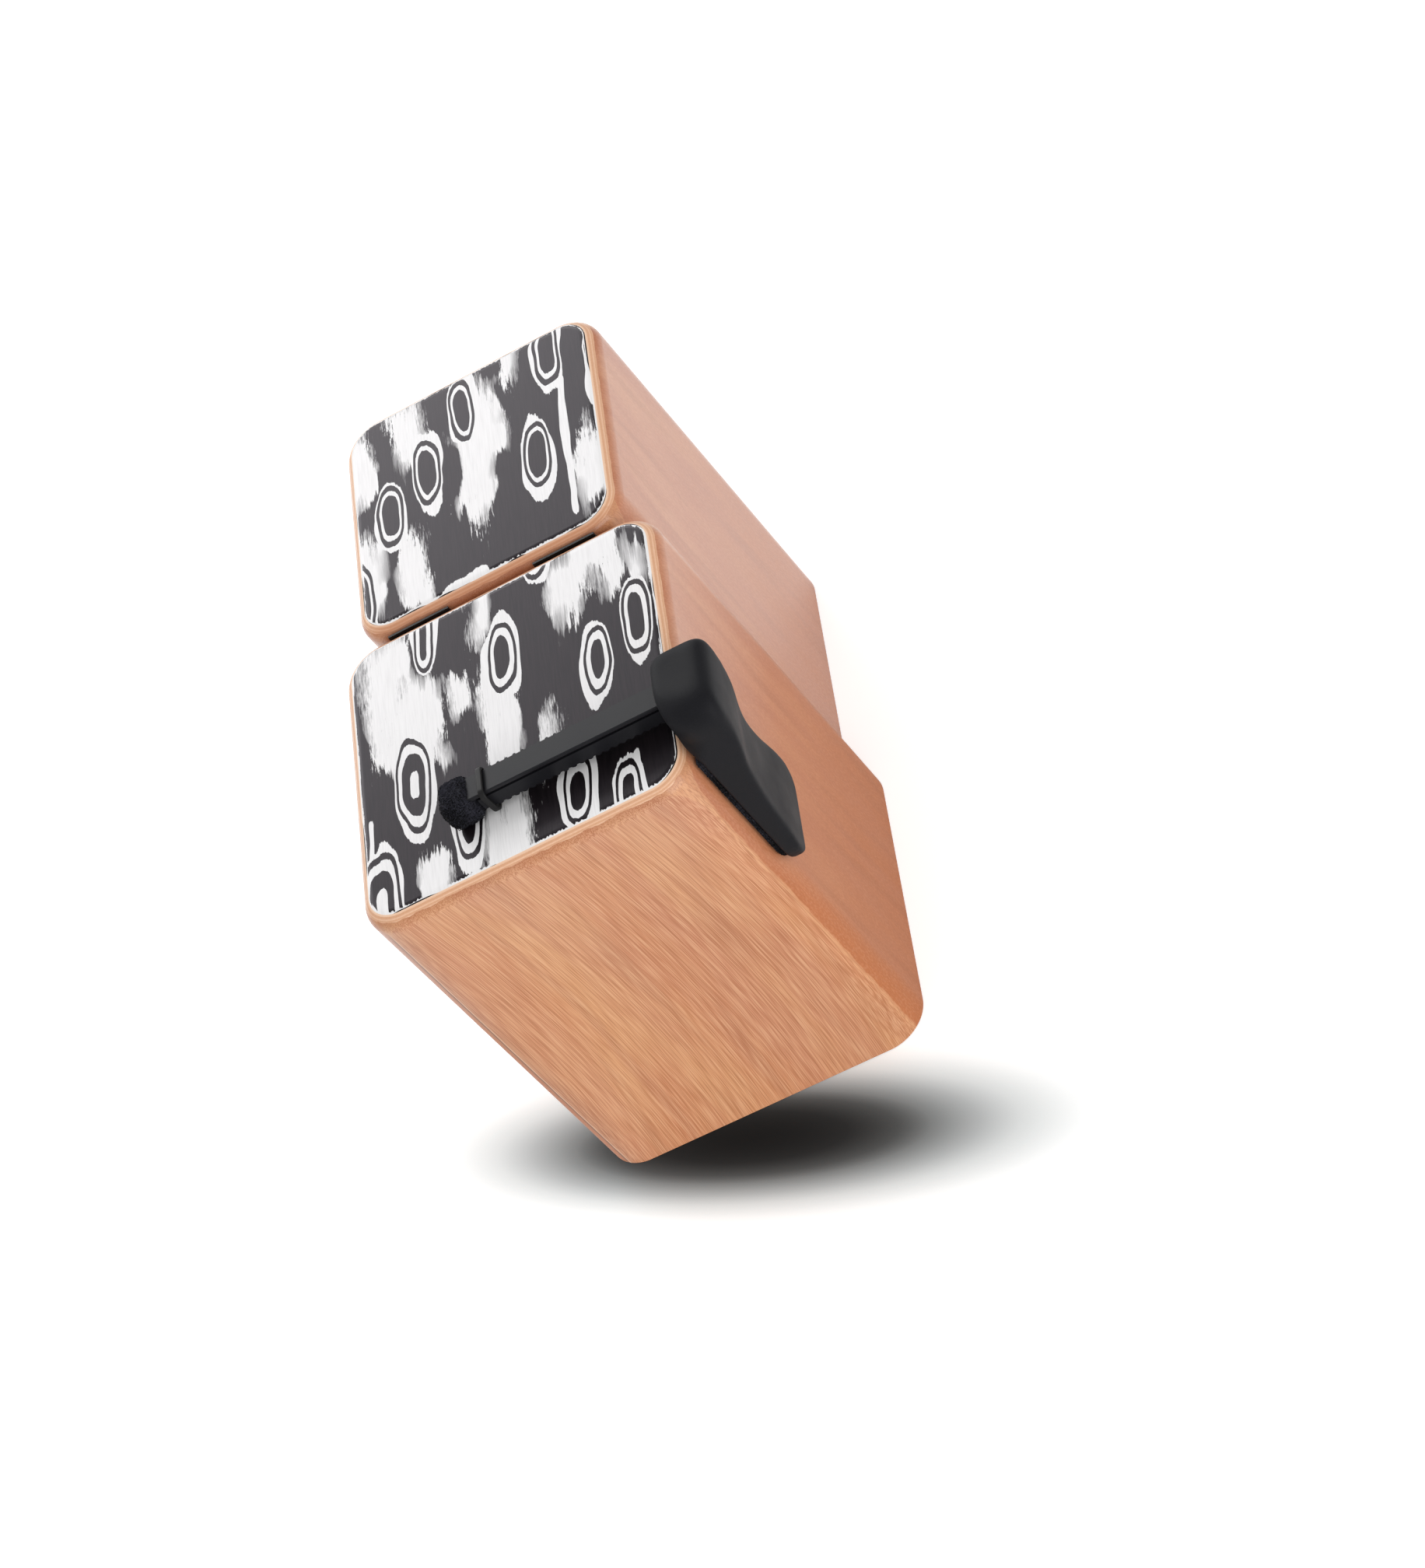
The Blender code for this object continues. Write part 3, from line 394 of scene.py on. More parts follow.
def dyed_veneer(name, box, bands, eyes, patches, creases, seed):
    material, tree = new_material(name)
    place = add(tree, "TexCoord", output="Object")
    middle = Vector(((box["x0"] + box["x1"]) / 2.0, (box["y0"] + box["y1"]) / 2.0, 0.0))
    centered = vector_node(tree, "SUBTRACT", place, middle)
    point = vector_node(tree, "MULTIPLY", centered, (1000.0, 1000.0 * GRAIN_SQUEEZE, 0.0))
    seeded = vector_node(tree, "ADD", point, (seed, seed, seed))
    drawn = vector_node(tree, "MULTIPLY", seeded, (1.0, 0.13, 1.0))
    fray = add(tree, "TexNoise", {"Vector": drawn, "Scale": 1.0 / 1.4, "Detail": 5.0, "Roughness": 0.7})
    fray = math_node(tree, "SUBTRACT", fray, 0.5)

    # Eyes: crisp bands round each bump, and a halo with short streaks
    eye_point = bend(tree, bend(tree, point, seeded, 13.0, 5.0), seeded, 3.5, 0.5)
    eye_point = push_along(tree, eye_point, fray, 1.0)
    level = nearest(tree, eye_point, eyes, 0.4)
    rings = add(tree, "ValToRGB", {0: math_node(tree, "DIVIDE", level, BAND_REACH)},
                stops=[(start / BAND_REACH, color) for start, color in bands])
    rings.node.color_ramp.interpolation = "CONSTANT"
    halo_point = push_along(tree, bend(tree, point, seeded, 13.0, 5.0), fray, 2.8)
    halo_level = nearest(tree, halo_point, eyes, 2.0)
    uneven = add(tree, "TexNoise", {"Vector": seeded, "Scale": 1.0 / 17.0, "Detail": 1.0})
    halo_reach = add(tree, "MapRange", {0: uneven, 1: 0.42, 2: 0.68, 3: 10.8, 4: 14.0})
    halo = math_node(tree, "LESS_THAN", halo_level, halo_reach)
    in_eye = math_node(tree, "LESS_THAN", level, LAST_BAND)

    # Patches: large white areas, crisp at the sides, frayed and speckled at their ends
    patch_point = push_along(tree, bend(tree, point, seeded, 18.0, 18.0), fray, 13.5)
    patch_level = nearest(tree, patch_point, patches, 4.0)
    short = vector_node(tree, "MULTIPLY", seeded, (1.0, 0.3, 1.0))
    speckle = add(tree, "TexNoise", {"Vector": short, "Scale": 1.0 / 0.8, "Detail": 4.0, "Roughness": 0.7})
    scatter = add(tree, "MapRange", {0: uneven, 1: 0.42, 2: 0.62, 3: 3.0, 4: 20.0})
    speckled = math_node(tree, "MULTIPLY", math_node(tree, "SUBTRACT", speckle, 0.5), scatter)
    patch_edge = math_node(tree, "ADD", math_node(tree, "SUBTRACT", 6.0, patch_level), speckled)
    hazy = add(tree, "TexNoise", {"Vector": seeded, "Scale": 1.0 / 9.0, "Detail": 1.0})
    soft = add(tree, "MapRange", {0: hazy, 1: 0.45, 2: 0.65, 3: 0.4, 4: 4.5})
    patch = add(tree, "MapRange", {0: patch_edge, 1: math_node(tree, "MULTIPLY", soft, -1.0), 2: soft})
    crease_point = push_along(tree, bend(tree, point, seeded, 11.0, 5.0), fray, 2.0)
    crease = math_node(tree, "LESS_THAN", nearest(tree, crease_point, creases, 1.0), 0.0)
    white = math_node(tree, "MAXIMUM", math_node(tree, "MAXIMUM", patch, halo), crease)
    share = add(tree, "Mix", {0: in_eye, 2: white, 3: add(tree, "RGBToBW", {0: rings})})

    # The sanded rim cuts into the white sheet below, and in places into the dark one under it
    height = add(tree, "SeparateXYZ", {0: place}, output="Z")
    torn = add(tree, "MapRange", {0: fray, 1: -0.2, 2: 0.2, 3: 0.08 * MM, 4: 0.45 * MM})
    sunk = math_node(tree, "SUBTRACT", box["face"], height)
    rim = math_node(tree, "GREATER_THAN", sunk, torn)
    share = math_node(tree, "MAXIMUM", share, rim)
    lower = add(tree, "MapRange", {0: uneven, 1: 0.36, 2: 0.54, 3: 0.36 * MM, 4: 0.75 * MM})
    share = math_node(tree, "MINIMUM", share, math_node(tree, "LESS_THAN", sunk, lower))

    # Faint threads run through both colours
    thin = add(tree, "TexNoise", {"Vector": drawn, "Scale": 1.0 / 0.8, "Detail": 3.0})
    black = add(tree, "ValToRGB", {0: thin}, stops=((0.35, "#120E11"), (0.65, "#1C171A")))
    pale = add(tree, "ValToRGB", {0: thin}, stops=((0.3, "#E9E8E8"), (0.5, "#F0EFEF"), (0.7, "#F4F3F3")))
    color = mix_color(tree, share, black, pale)
    bump = add(tree, "Bump", {"Strength": 0.12, "Distance": 0.02 * MM, "Height": thin})
    shader = add(tree, "BsdfPrincipled", {
        "Base Color": color, "Roughness": 0.34, "Normal": bump, "IOR": 1.3,
        "Specular Tint": linear("#FCF0FF")})
    add(tree, "OutputMaterial", {"Surface": shader})
    return material


# Each bump: place across and along the grain, half its size across and along, and how much
# of it the slice has cut off, all in mm
LARGE_EYES = ((0.0, 38.0, 0.4, 2.0, 2.5), (-54.0, -14.0, 0.5, 4.0, 0.4), (-27.0, -56.0, 0.3, 2.0, 2.8),
              (50.0, 8.0, 0.3, 2.0, 2.8), (74.0, 22.0, 0.4, 4.0, 2.9), (32.0, -66.0, 0.2, 2.0, 2.4),
              (-77.0, -80.0, 1.0, 6.0, 0.0), (24.0, 100.0, 0.4, 2.0, 2.4), (-42.0, 78.0, 0.1, 10.0, 4.4),
              (-93.0, -40.0, 0.2, 14.0, 3.4), (58.0, -84.0, 0.1, 6.0, 3.6))
LARGE_PATCHES = ((-64.0, 50.0, 6.0, 25.5, 0.0), (-46.0, 18.0, 5.0, 11.5, 0.0), (-4.0, 0.0, 3.0, 17.5, 0.0),
                 (-24.0, 30.0, 1.5, 5.5, 1.5), (54.0, 84.0, 8.0, 11.5, 0.0), (36.0, 62.0, 3.0, 5.5, 0.0),
                 (-6.0, -76.0, 8.0, 11.5, 0.0), (-48.0, -86.0, 4.0, 7.5, 0.0), (74.0, 56.0, 1.0, 7.5, 2.0),
                 (-10.0, 86.0, 0.5, 13.5, 2.4), (22.0, -26.0, 2.0, 7.5, 1.5))
LARGE_CREASES = ((-80.0, -44.0, 0.5, 20.0, -1.0), (64.0, -70.0, 0.4, 8.0, -1.4))
SMALL_EYES = ((-50.0, 0.0, 0.3, 2.0, 2.8), (-27.0, 16.0, 0.5, 3.0, 2.4), (-4.0, 48.0, 0.2, 4.0, 2.9),
              (36.0, -8.0, 0.4, 3.0, 2.4), (48.0, 58.0, 0.5, 6.0, 2.8), (-74.0, -50.0, 0.5, 8.0, 0.9),
              (76.0, 34.0, 0.3, 10.0, 3.0))
SMALL_PATCHES = ((0.0, 4.0, 5.0, 19.5, 0.0), (-36.0, 58.0, 4.0, 7.5, 0.0), (8.0, 30.0, 3.0, 9.5, 0.0), (-66.0, 48.0, 2.0, 11.5, 0.0),
                 (-40.0, -52.0, 4.0, 9.5, 0.0), (-64.0, -36.0, 0.5, 13.5, 1.0), (64.0, -34.0, 2.0, 9.5, 0.0),
                 (24.0, 74.0, 1.0, 7.5, 1.5))
SMALL_CREASES = ((53.0, -12.0, 0.5, 46.0, -1.6), (-12.0, -74.0, 12.0, 0.5, -2.4))
DYED_VENEER = {
    "large_box": dyed_veneer("dyed_veneer_large", BOXES["large_box"], THICK_BANDS, LARGE_EYES, LARGE_PATCHES,
                             LARGE_CREASES, 11.0),
    "small_box": dyed_veneer("dyed_veneer_small", BOXES["small_box"], THIN_BANDS, SMALL_EYES, SMALL_PATCHES,
                             SMALL_CREASES, 57.0),
}
print("veneer bumps:", len(LARGE_EYES) + len(LARGE_PATCHES), len(SMALL_EYES) + len(SMALL_PATCHES))

# %% [markdown]
# ## Plastics, rubber, felt, pine and zinc
# The arm is moulded in a matt black polymer with a spark-eroded skin, which scatters light.
# The bar is a smoother moulding. Rubber is duller. Felt and tape are dyed nylon pile.
# Zinc plating is a bright metal with a faint bloom.


# %% Plastics, rubber, felt, pine and zinc
def grained(name, dark, light, roughness, grain_mm, strength, gloss=0.5, metallic=0.0, sheen=0.0,
            stretch=(1, 1, 1), spread=0.15, ior=1.5):
    """A finish with fine grain: a tone and a bump from one noise, wear-like blotches over it."""
    material, tree = new_material(name)
    place = add(tree, "TexCoord", output="Object")
    along = add(tree, "Mapping", {0: place, "Scale": stretch})
    grain = add(tree, "TexNoise", {"Vector": along, "Scale": per(grain_mm), "Detail": 3.0})
    blotch = add(tree, "TexNoise", {"Vector": along, "Scale": per(22.0), "Detail": 3.0})
    both = add(tree, "Mix", {0: 0.4, 2: grain, 3: blotch})
    color = add(tree, "ValToRGB", {0: both}, stops=((0.5 - spread, dark), (0.5 + spread, light)))
    rough = add(tree, "MapRange", {0: blotch, 1: 0.3, 2: 0.7, 3: roughness - 0.05, 4: roughness + 0.05})
    bump = add(tree, "Bump", {"Strength": strength, "Distance": 0.08 * MM, "Height": grain})
    shader = add(tree, "BsdfPrincipled", {"Base Color": color, "Roughness": rough, "Normal": bump})
    shader.node.inputs["Specular IOR Level"].default_value = gloss
    shader.node.inputs["IOR"].default_value = ior
    shader.node.inputs["Metallic"].default_value = metallic
    shader.node.inputs["Sheen Weight"].default_value = sheen
    add(tree, "OutputMaterial", {"Surface": shader})
    return material


ARM_POLYMER = grained("matt_moulded_polymer", "#131316", "#1A1A1E", 0.55, 0.5, 0.3, ior=1.23)
BAR_POLYMER = grained("satin_moulded_polymer", "#17171A", "#1E1E22", 0.42, 0.4, 0.1, gloss=0.2)
RUBBER = grained("black_rubber", "#101010", "#161516", 0.5, 0.5, 0.15, gloss=0.28)
FELT = grained("black_nylon_pile", "#010102", "#303038", 0.95, 0.7, 1.0, gloss=0.1, sheen=0.04, spread=0.06)
PINE = grained("raw_pine", "#CFA570", "#E6C795", 0.62, 0.9, 0.3, stretch=(1.0, 1.0, 0.05))
ZINC = grained("zinc_plated_steel", "#B2B4B4", "#C9CBCB", 0.32, 0.6, 0.06, metallic=1.0)
print("grained finishes ready")

# %% [markdown]
# ## Finish the frame's own solids
# The bar, the battens, the spacers and the fixings keep their CAD shape.

# %% Finish the frame's own solids
for name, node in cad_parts.items():
    if "batten" in name:
        finish = PINE
    elif name.startswith(("bolt", "nut", "washer", "clapper_pin")):
        finish = ZINC
    elif name.startswith("spacer"):
        finish = RUBBER
    elif name == "arm":
        finish = ARM_POLYMER
    else:
        finish = BAR_POLYMER
    node.data.materials.clear()
    node.data.materials.append(finish)
print("dressed", len(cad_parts), "nodes")

# %% [markdown]
# ## Helpers for pieces
# A piece is modelled in a bmesh at its real place. Area-weighted normals keep large flat
# panels flat right up to a rounded edge.


# %% Helpers for pieces
def make_piece(name, bm, finish, body, replaced, sharp=35.0):
    bmesh.ops.recalc_face_normals(bm, faces=bm.faces)
    mesh = bpy.data.meshes.new(name)
    bm.to_mesh(mesh)
    bm.free()
    mesh.shade_smooth()
    mesh.set_sharp_from_angle(angle=math.radians(sharp))
    mesh.materials.append(finish)
    piece = bpy.data.objects.new(name, mesh)
    bpy.context.scene.collection.objects.link(piece)
    weighted = piece.modifiers.new("area_weighted_normals", "WEIGHTED_NORMAL")
    weighted.keep_sharp = True
    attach(piece, body)
    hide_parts(*replaced)
    print(name, "faces:", len(mesh.polygons))
    return piece


def block(low, high):
    """A bmesh cube that fills the box between two corners."""
    bm = bmesh.new()
    bmesh.ops.create_cube(bm, size=1.0)
    size = Vector(high) - Vector(low)
    bmesh.ops.scale(bm, vec=size, verts=bm.verts)
    bmesh.ops.translate(bm, vec=Vector(low) + size / 2.0, verts=bm.verts)
    return bm


def round_edges(bm, edges, radius, segments):
    bmesh.ops.bevel(bm, geom=edges, offset=radius, offset_type="OFFSET", segments=segments,
                    profile=0.5, affect="EDGES", clamp_overlap=False, material=-1)


# %% [markdown]
# ## Shells and playing faces
# A box is glued up square and rounded afterwards with a cutter, which is also how it is
# made here: a block, its upright edges rounded, then the rim of its face. One level cut
# parts the veneer from the shell, so that both share one unbroken curve. The hollow is a
# plain block turned inside out, and a ring-shaped face closes the open rim.


# %% Shells and playing faces
def rounded_block(box):
    bm = block((box["x0"], box["y0"], 0.0), (box["x1"], box["y1"], box["face"]))
    upright = [e for e in bm.edges if abs(e.verts[0].co.z - e.verts[1].co.z) > 0.1]
    round_edges(bm, upright, CORNER_RADIUS, 20)
    rim = [e for e in bm.edges if min(v.co.z for v in e.verts) > box["face"] - 0.01 * MM]
    round_edges(bm, rim, EDGE_RADIUS, 12)
    return bm


def cut_level(bm, height, keep_above):
    whole = bm.verts[:] + bm.edges[:] + bm.faces[:]
    bmesh.ops.bisect_plane(bm, geom=whole, plane_co=(0.0, 0.0, height), plane_no=(0.0, 0.0, 1.0),
                           clear_inner=keep_above, clear_outer=not keep_above)
    bmesh.ops.holes_fill(bm, edges=[e for e in bm.edges if e.is_boundary], sides=0)


def drop_bottom(bm):
    bottom = [f for f in bm.faces if max(v.co.z for v in f.verts) < 0.01 * MM]
    bmesh.ops.delete(bm, geom=bottom, context="FACES_ONLY")


for label, box in BOXES.items():
    cap = rounded_block(box)
    cut_level(cap, box["veneer_low"], True)
    make_piece(label + "_playing_face", cap, DYED_VENEER[label], "box_pair",
               [label + "_face_veneer"])

    shell = rounded_block(box)
    cut_level(shell, box["veneer_low"], False)
    drop_bottom(shell)
    hollow = block((box["x0"] + WALL, box["y0"] + WALL, 0.0),
                   (box["x1"] - WALL, box["y1"] - WALL, box["plate_low"]))
    drop_bottom(hollow)
    inside = bpy.data.meshes.new("hollow")
    hollow.to_mesh(inside)
    hollow.free()
    shell.from_mesh(inside)
    bpy.data.meshes.remove(inside)
    bmesh.ops.triangle_fill(shell, use_beauty=True, use_dissolve=False,
                            edges=[e for e in shell.edges if e.is_boundary])
    print("open edges left:", sum(1 for e in shell.edges if e.is_boundary))
    make_piece(label + "_shell", shell, PLYWOOD[label], "box_pair",
               [label + "_" + part for part in ("front_wall", "rear_wall", "left_wall", "right_wall",
                                                "top_plate")])

# %% [markdown]
# ## Spacers
# Two strips of rubber keep the boxes from touching. Their tops rise almost to the faces, so
# that they show as two dark lines in the joint. Each is the CAD strip with its top drawn up.

# %% Spacers
SPACER_RISE = 2.4 * MM
for side in ("left", "right"):
    name = "spacer_" + side
    strip = bmesh.new()
    strip.from_mesh(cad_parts[name].data)
    bmesh.ops.remove_doubles(strip, verts=strip.verts, dist=0.01 * MM)
    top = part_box(name)[1].z
    for vert in strip.verts:
        if vert.co.z > top - 0.1 * MM:
            vert.co.z += SPACER_RISE
    make_piece("rubber_strip_" + side, strip, RUBBER, "box_pair", [name])

# %% [markdown]
# ## Arm
# A soft, moulded form: every edge runs over in a wide curve, widest at the head. The CAD
# solid is copied, given an even mesh, and eased by moving each vertex towards its
# neighbours, as a model maker sands a block. The socket that holds the bar and the flat
# back on the tapes are left alone.

# %% Arm
ARM_MESH = 1.0 * MM
HEAD_START = 236.0 * MM
FOOT_END = 152.0 * MM
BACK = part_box("hook_pad")[1].x + 1.8 * MM
BACK_TOP = 219.0 * MM
SOCKET_LOW = Vector((73.0, -139.0, 226.0)) * MM
SOCKET_HIGH = Vector((92.0, -114.0, 246.0)) * MM


def ease(bm, rounds, chosen):
    """Sands the chosen vertices: each moves half way to the middle of its neighbours."""
    verts = [v for v in bm.verts if chosen(v.co)]
    for _ in range(rounds):
        bmesh.ops.smooth_vert(bm, verts=verts, factor=0.5, use_axis_x=True, use_axis_y=True,
                              use_axis_z=True)


def outside_socket(point):
    on_back = point.x < BACK and point.z < BACK_TOP
    return not on_back and any(not low < value < high
                               for low, value, high in zip(SOCKET_LOW, point, SOCKET_HIGH))


arm = bmesh.new()
arm.from_mesh(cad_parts["arm"].data)
bmesh.ops.remove_doubles(arm, verts=arm.verts, dist=0.01 * MM)
draft_mesh = bpy.data.meshes.new("arm_draft")
arm.to_mesh(draft_mesh)
arm.clear()
draft = bpy.data.objects.new("arm_draft", draft_mesh)
bpy.context.scene.collection.objects.link(draft)
even = draft.modifiers.new("even_mesh", "REMESH")
even.mode = "VOXEL"
even.voxel_size = ARM_MESH
even_mesh = bpy.data.meshes.new_from_object(draft.evaluated_get(bpy.context.evaluated_depsgraph_get()))
bpy.data.objects.remove(draft)
bpy.data.meshes.remove(draft_mesh)
arm.from_mesh(even_mesh)
bpy.data.meshes.remove(even_mesh)
ease(arm, 10, lambda point: outside_socket(point) and point.z > HEAD_START)
ease(arm, 6, lambda point: outside_socket(point) and point.z > FOOT_END)
ease(arm, 2, outside_socket)
make_piece("rattle_arm", arm, ARM_POLYMER, "rattle", ["arm"], 60.0)

# %% [markdown]
# ## Rubber ring
# A moulded band, stretched over the bar. It lies close along the top and the far edge, and
# its slack hangs off the near side and below. It is a block with its four long edges
# rounded, opened by an inset on each end and bridged through, then rounded at both rims
# and leaned a little, as a hand leaves it.

# %% Rubber ring
RING_WALL = 1.5 * MM
RING_WIDTH = 3.1 * MM
RING_LEAN = 0.045
ring_low, ring_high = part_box("rubber_ring")
rail_low, rail_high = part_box("rail")
clapper_low, clapper_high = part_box("clapper")
ring_bottom = Vector((ring_low.x + 0.1 * MM, ring_low.y, ring_low.z))
ring_top = Vector((ring_low.x + 0.1 * MM + RING_WIDTH, clapper_high.y + RING_WALL + 0.35 * MM,
                   rail_high.z + RING_WALL + 0.5 * MM))
ring = block(ring_bottom, ring_top)
for near, top, radius in ((False, True, 2.7), (True, True, 4.0), (True, False, 4.6), (False, False, 3.4)):
    middle = (ring_bottom + ring_top) / 2.0
    corner = [e for e in ring.edges if all((v.co.y < middle.y) == near and (v.co.z > middle.z) == top
                                           for v in e.verts)]
    round_edges(ring, corner, radius * MM, 8)
ends = [f for f in ring.faces if abs(f.normal.x) > 0.9]
bmesh.ops.inset_region(ring, faces=ends, thickness=RING_WALL, use_even_offset=True)
bmesh.ops.delete(ring, geom=ends, context="FACES_ONLY")
bmesh.ops.bridge_loops(ring, edges=[e for e in ring.edges if e.is_boundary])
ring.normal_update()
rims = [e for e in ring.edges if len(e.link_faces) == 2 and e.calc_face_angle(0.0) > math.radians(60.0)]
round_edges(ring, rims, 0.6 * MM, 3)
for vert in ring.verts:
    vert.co.x += RING_LEAN * (ring_top.z - vert.co.z)
make_piece("rubber_band_ring", ring, RUBBER, "ring", ["rubber_ring"])

# %% [markdown]
# ## Felt end and tapes
# The bar's free end is wrapped in black nylon pile, which keeps it from clicking on the
# face. The pile is a dense mat of tiny loops. The mat is a rounded block whose surface is
# pushed about by noise, and small loops stand out of it, so that its outline is fuzzy.


# %% Pile
def roughen(bm, amount, size):
    """Moves each vertex along its normal by two sizes of noise."""
    bm.normal_update()
    moves = []
    for vert in bm.verts:
        coarse = noise.noise(vert.co / size)
        fine = noise.noise(vert.co / (size * 0.45))
        moves.append(vert.normal * amount * (0.65 * coarse + 0.35 * fine))
    for vert, move in zip(bm.verts, moves):
        vert.co += move


def tiny_loop(radius, thread):
    """A half loop of thread with few faces: a triangle spun through most of a turn."""
    bm = bmesh.new()
    bmesh.ops.create_circle(bm, segments=3, radius=thread, cap_ends=True,
                            matrix=Matrix.Translation((radius, 0.0, 0.0)) @ Matrix.Rotation(math.pi / 2.0, 4, "X"))
    bmesh.ops.spin(bm, geom=bm.verts[:] + bm.edges[:] + bm.faces[:], cent=(0.0, 0.0, 0.0),
                   axis=(0.0, 0.0, 1.0), angle=math.radians(210.0), steps=6, use_duplicate=False)
    bmesh.ops.recalc_face_normals(bm, faces=bm.faces)
    mesh = bpy.data.meshes.new("tiny_loop")
    bm.to_mesh(mesh)
    bm.free()
    return mesh


def scatter_loops(bm, count, radius, thread, seed, allowed=lambda point: True):
    """Stands tiny loops on random faces, chosen by area."""
    rng = random.Random(seed)
    bm.normal_update()
    faces = [f for f in bm.faces if allowed(f.calc_center_median())]
    weights = [f.calc_area() for f in faces]
    spots = [(f.calc_center_median(), f.normal.copy()) for f in rng.choices(faces, weights, k=count)]
    template = tiny_loop(radius, thread)
    for center, normal in spots:
        turn = normal.to_track_quat("Y", "Z").to_matrix().to_4x4()
        spin = Matrix.Rotation(rng.uniform(0.0, math.tau), 4, "Y")
        tilt = Matrix.Rotation(rng.uniform(-0.7, 0.7), 4, "X")
        grow = Matrix.Scale(rng.uniform(0.7, 1.25), 4)
        place = Matrix.Translation(center + normal * rng.uniform(-0.3, 0.15) * radius)
        loop = template.copy()
        loop.transform(place @ turn @ spin @ tilt @ grow)
        bm.from_mesh(loop)
        bpy.data.meshes.remove(loop)
    bpy.data.meshes.remove(template)


# %% Felt end
pad_low, pad_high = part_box("end_pad")
felt = block(pad_low + Vector((-1.2, -0.9, 0.2)) * MM, pad_high + Vector((0.0, 0.4, 0.2)) * MM)
round_edges(felt, felt.edges[:], 4.6 * MM, 5)
bmesh.ops.subdivide_edges(felt, edges=[e for e in felt.edges if e.calc_length() > 1.6 * MM], cuts=9,
                          use_grid_fill=True)
for vert in felt.verts:
    upper = min(max((vert.co.z - pad_low.z) / (pad_high.z - pad_low.z), 0.0), 1.0)
    right = min(max((vert.co.x - pad_low.x) / (pad_high.x - pad_low.x), 0.0), 1.0)
    vert.co.x -= 3.2 * MM * upper * right
bmesh.ops.triangulate(felt, faces=felt.faces)
roughen(felt, 0.7 * MM, 1.8 * MM)
scatter_loops(felt, 1500, 0.55 * MM, 0.16 * MM, 3)
felt_piece = make_piece("felt_end", felt, FELT, "rattle", ["end_pad"], 80.0)

# %% [markdown]
# ## Hook tape and loop tape
# The rattle is held to the wall by two tapes whose piles lock. From outside only their
# fringe shows, as a dark, uneven line between the arm and the wall.


# %% Hook tape and loop tape
TAPE_RISE = 6.0 * MM
TAPE_FOOT = 2.6 * MM


def tape(name, node, body, seed):
    """The CAD pad's outline with its top drawn up to the wall's rounding, and loops along its edge."""
    low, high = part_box(node)
    bm = bmesh.new()
    bm.from_mesh(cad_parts[node].data)
    bmesh.ops.remove_doubles(bm, verts=bm.verts, dist=0.01 * MM)
    for vert in bm.verts:
        vert.co.z += TAPE_RISE if vert.co.z > (low.z + high.z) / 2.0 else TAPE_FOOT
    bmesh.ops.triangulate(bm, faces=bm.faces)
    edges = [e for e in bm.edges if e.calc_length() > 4.0 * MM and abs(e.verts[0].co.z - e.verts[1].co.z) > 3.0 * MM]
    bmesh.ops.subdivide_edges(bm, edges=edges, cuts=24)
    bmesh.ops.triangulate(bm, faces=bm.faces)
    bm.normal_update()
    scatter_loops(bm, 900, 0.42 * MM, 0.11 * MM, seed,
                  lambda spot: low.x + 0.15 * MM < spot.x < high.x - 0.15 * MM)
    return make_piece(name, bm, FELT, body, [node], 60.0)


tape("loop_tape", "loop_pad", "box_pair", 5)
tape("hook_tape", "hook_pad", "rattle", 6)

# %% [markdown]
# ## Floor and light
# A pale floor keeps the object's shadow. In the picture the shadow in front is a soft, dark
# pool, far darker than such even light would give, so the floor is toned down there for
# the camera's eye. The world and two wide lamps light the object
# evenly, with a little more from high up behind it, so that shadows fall forwards. A long,
# low lamp behind it shows only in glossy surfaces. The dark veneer mirrors it as a grey
# sheen, except near the bar, which stands in the way.

# %% Floor and world
WORLD_LIGHT = 0.6
POOL_CENTER = Vector((-27.0, -183.5, 0.0)) * MM
POOL_ACROSS = Vector((10.3, -0.6, 0.0))
POOL_ALONG = Vector((-14.8, -36.5, 0.0))
bpy.ops.mesh.primitive_plane_add(size=12.0, location=(0.0, 0.0, -0.0005))
floor = bpy.context.object
floor.name = "studio_floor"
floor_material, floor_tree = new_material("pale_floor")
floor_place = add(floor_tree, "TexCoord", output="Object")
floor_noise = add(floor_tree, "TexNoise", {"Vector": floor_place, "Scale": 3.0})
floor_color = add(floor_tree, "ValToRGB", {0: floor_noise}, stops=((0.0, "#FBFBFB"), (1.0, "#FFFFFF")))
rays = add(floor_tree, "LightPath").node.outputs
mirrored = math_node(floor_tree, "MAXIMUM", rays["Is Glossy Ray"], rays["Is Transmission Ray"])
lift = math_node(floor_tree, "ADD", math_node(floor_tree, "MULTIPLY", rays["Is Camera Ray"], 0.5),
                 math_node(floor_tree, "MULTIPLY", mirrored, 0.25))
from_pool = vector_node(floor_tree, "SUBTRACT", floor_place, POOL_CENTER)
across, along = (add(floor_tree, "VectorMath", {0: from_pool, 1: axis}, output="Value", operation="DOT_PRODUCT")
                 for axis in (POOL_ACROSS, POOL_ALONG))
reach = add(floor_tree, "VectorMath", {0: add(floor_tree, "CombineXYZ", {"X": across, "Y": along})},
            output="Value", operation="LENGTH")
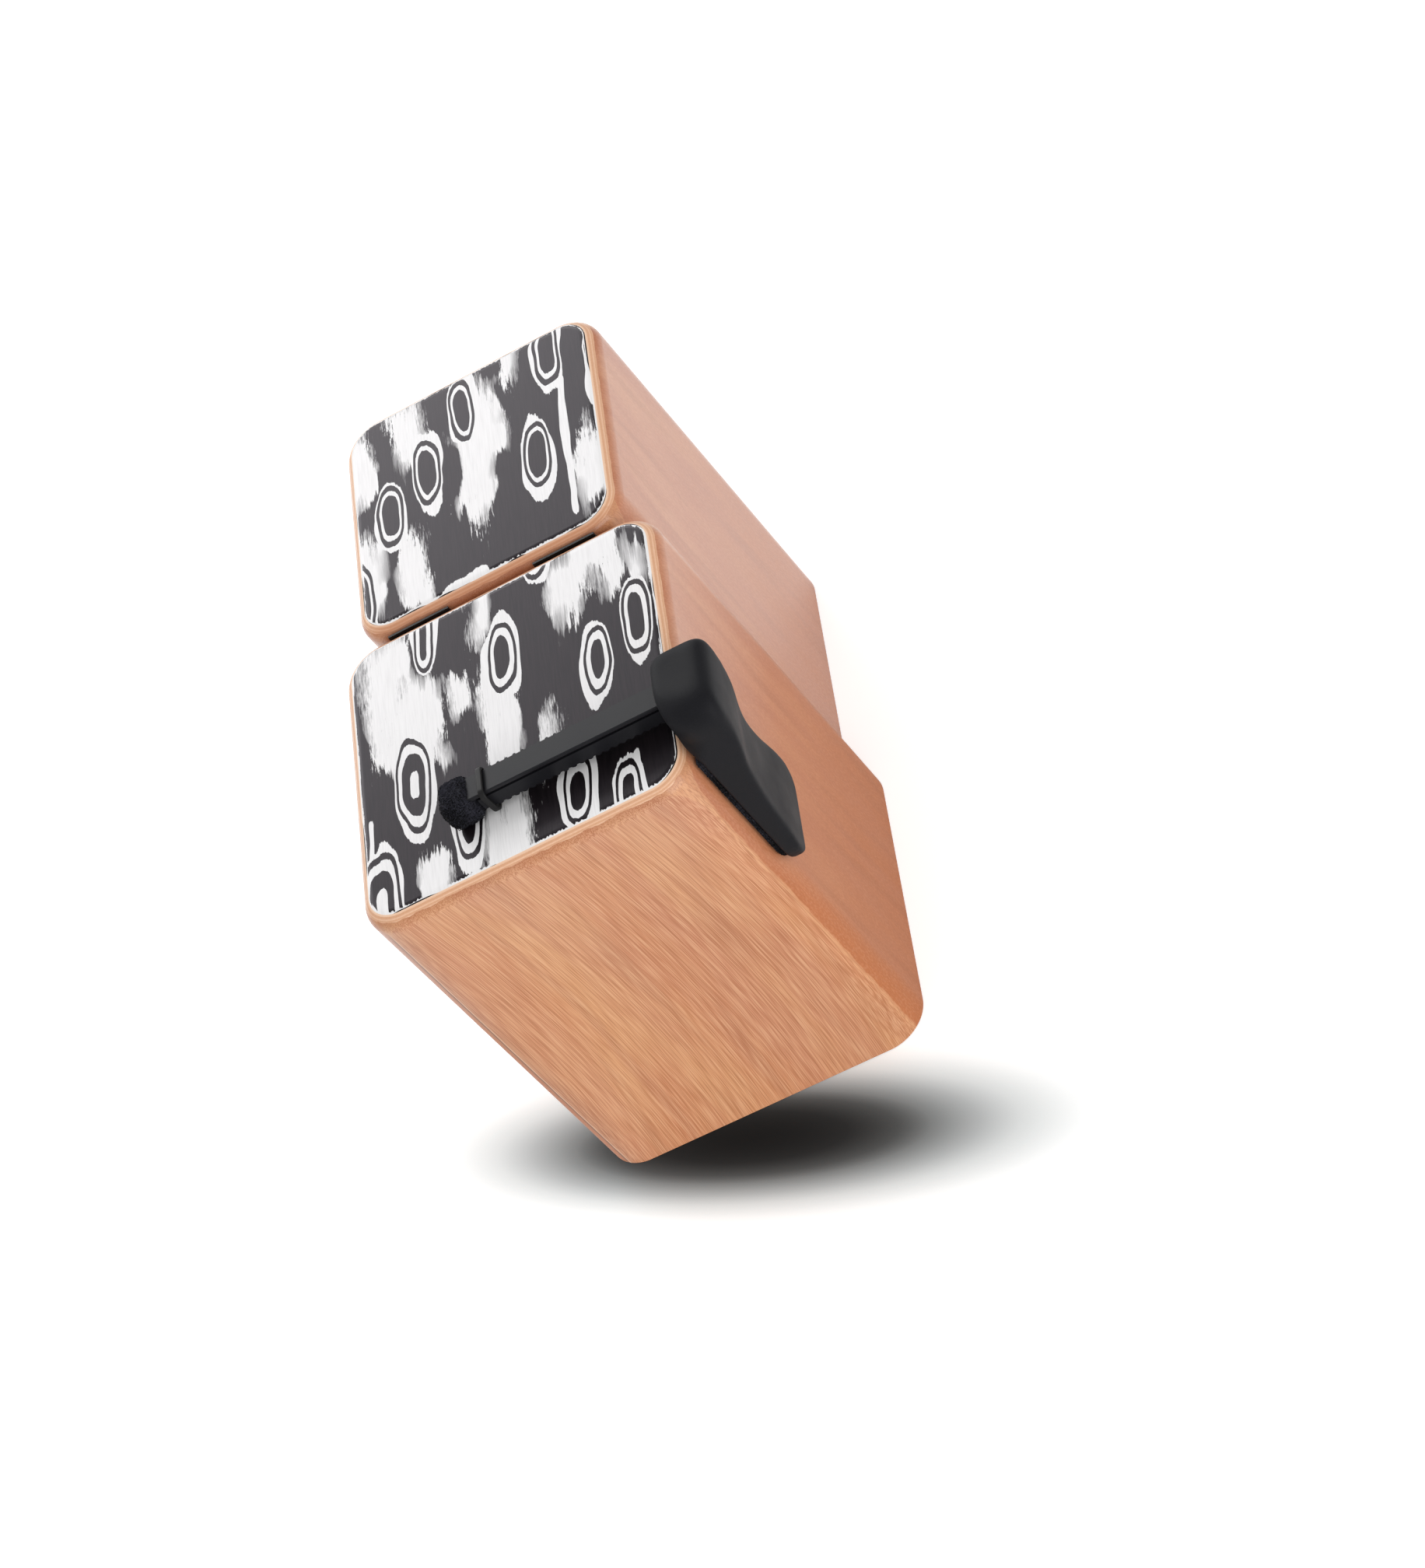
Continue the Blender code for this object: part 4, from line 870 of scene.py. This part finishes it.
pool = add(floor_tree, "ValToRGB", {0: math_node(floor_tree, "DIVIDE", reach, 2.2)},
           stops=((0.0, "#1B1B1B"), (0.25, "#202020"), (0.38, "#454646"), (0.46, "#6B6E6E"), (0.58, "#A4A8A9"),
                  (0.68, "#C8CCCC"), (0.82, "#E5E8E8"), (1.0, "#FFFFFF")))
pool.node.color_ramp.interpolation = "B_SPLINE"
pool = mix_color(floor_tree, rays["Is Camera Ray"], "#FFFFFF", pool)
floor_color = add(floor_tree, "Mix", {0: 1.0, 6: floor_color, 7: pool}, data_type="RGBA", blend_type="MULTIPLY")
floor_shader = add(floor_tree, "BsdfPrincipled", {"Base Color": floor_color, "Roughness": 0.9,
                                                  "Emission Color": pool, "Emission Strength": lift})
floor_shader.node.inputs["Specular IOR Level"].default_value = 0.0
add(floor_tree, "OutputMaterial", {"Surface": floor_shader})
floor.data.materials.append(floor_material)

world = bpy.data.worlds.new("studio_world")
bpy.context.scene.world = world
world.use_nodes = True
seen = add(world.node_tree, "LightPath", output="Is Camera Ray")
background = world.node_tree.nodes["Background"]
background.inputs["Color"].default_value = (1.0, 1.0, 1.0, 1.0)
world.node_tree.links.new(add(world.node_tree, "Mix", {0: seen, 2: WORLD_LIGHT, 3: 1.0}),
                          background.inputs["Strength"])
print("floor and world set")


# %% Lamps
def soft_lamp(name, place, target, width, depth, watts):
    data = bpy.data.lights.new(name, "AREA")
    data.shape = "RECTANGLE"
    data.size = width
    data.size_y = depth
    data.energy = watts
    lamp = bpy.data.objects.new(name, data)
    bpy.context.scene.collection.objects.link(lamp)
    lamp.location = place
    lamp.rotation_euler = (Vector(target) - Vector(place)).to_track_quat("-Z", "Y").to_euler()
    return lamp


key = soft_lamp("key_lamp", (-1.1, 1.5, 1.7), (0.0, 0.0, 0.15), 2.0, 2.0, 27.0)
key.visible_glossy = False
soft_lamp("fill_lamp", (1.45, -1.95, 0.9), (0.0, 0.0, 0.1), 2.0, 2.0, 30.0)
sheen = soft_lamp("sheen_lamp", (-1.05, 2.16, 1.5), (0.0, 0.0, 0.23), 2.4, 0.6, 36.0)
sheen.visible_diffuse = False
print("lamps set")
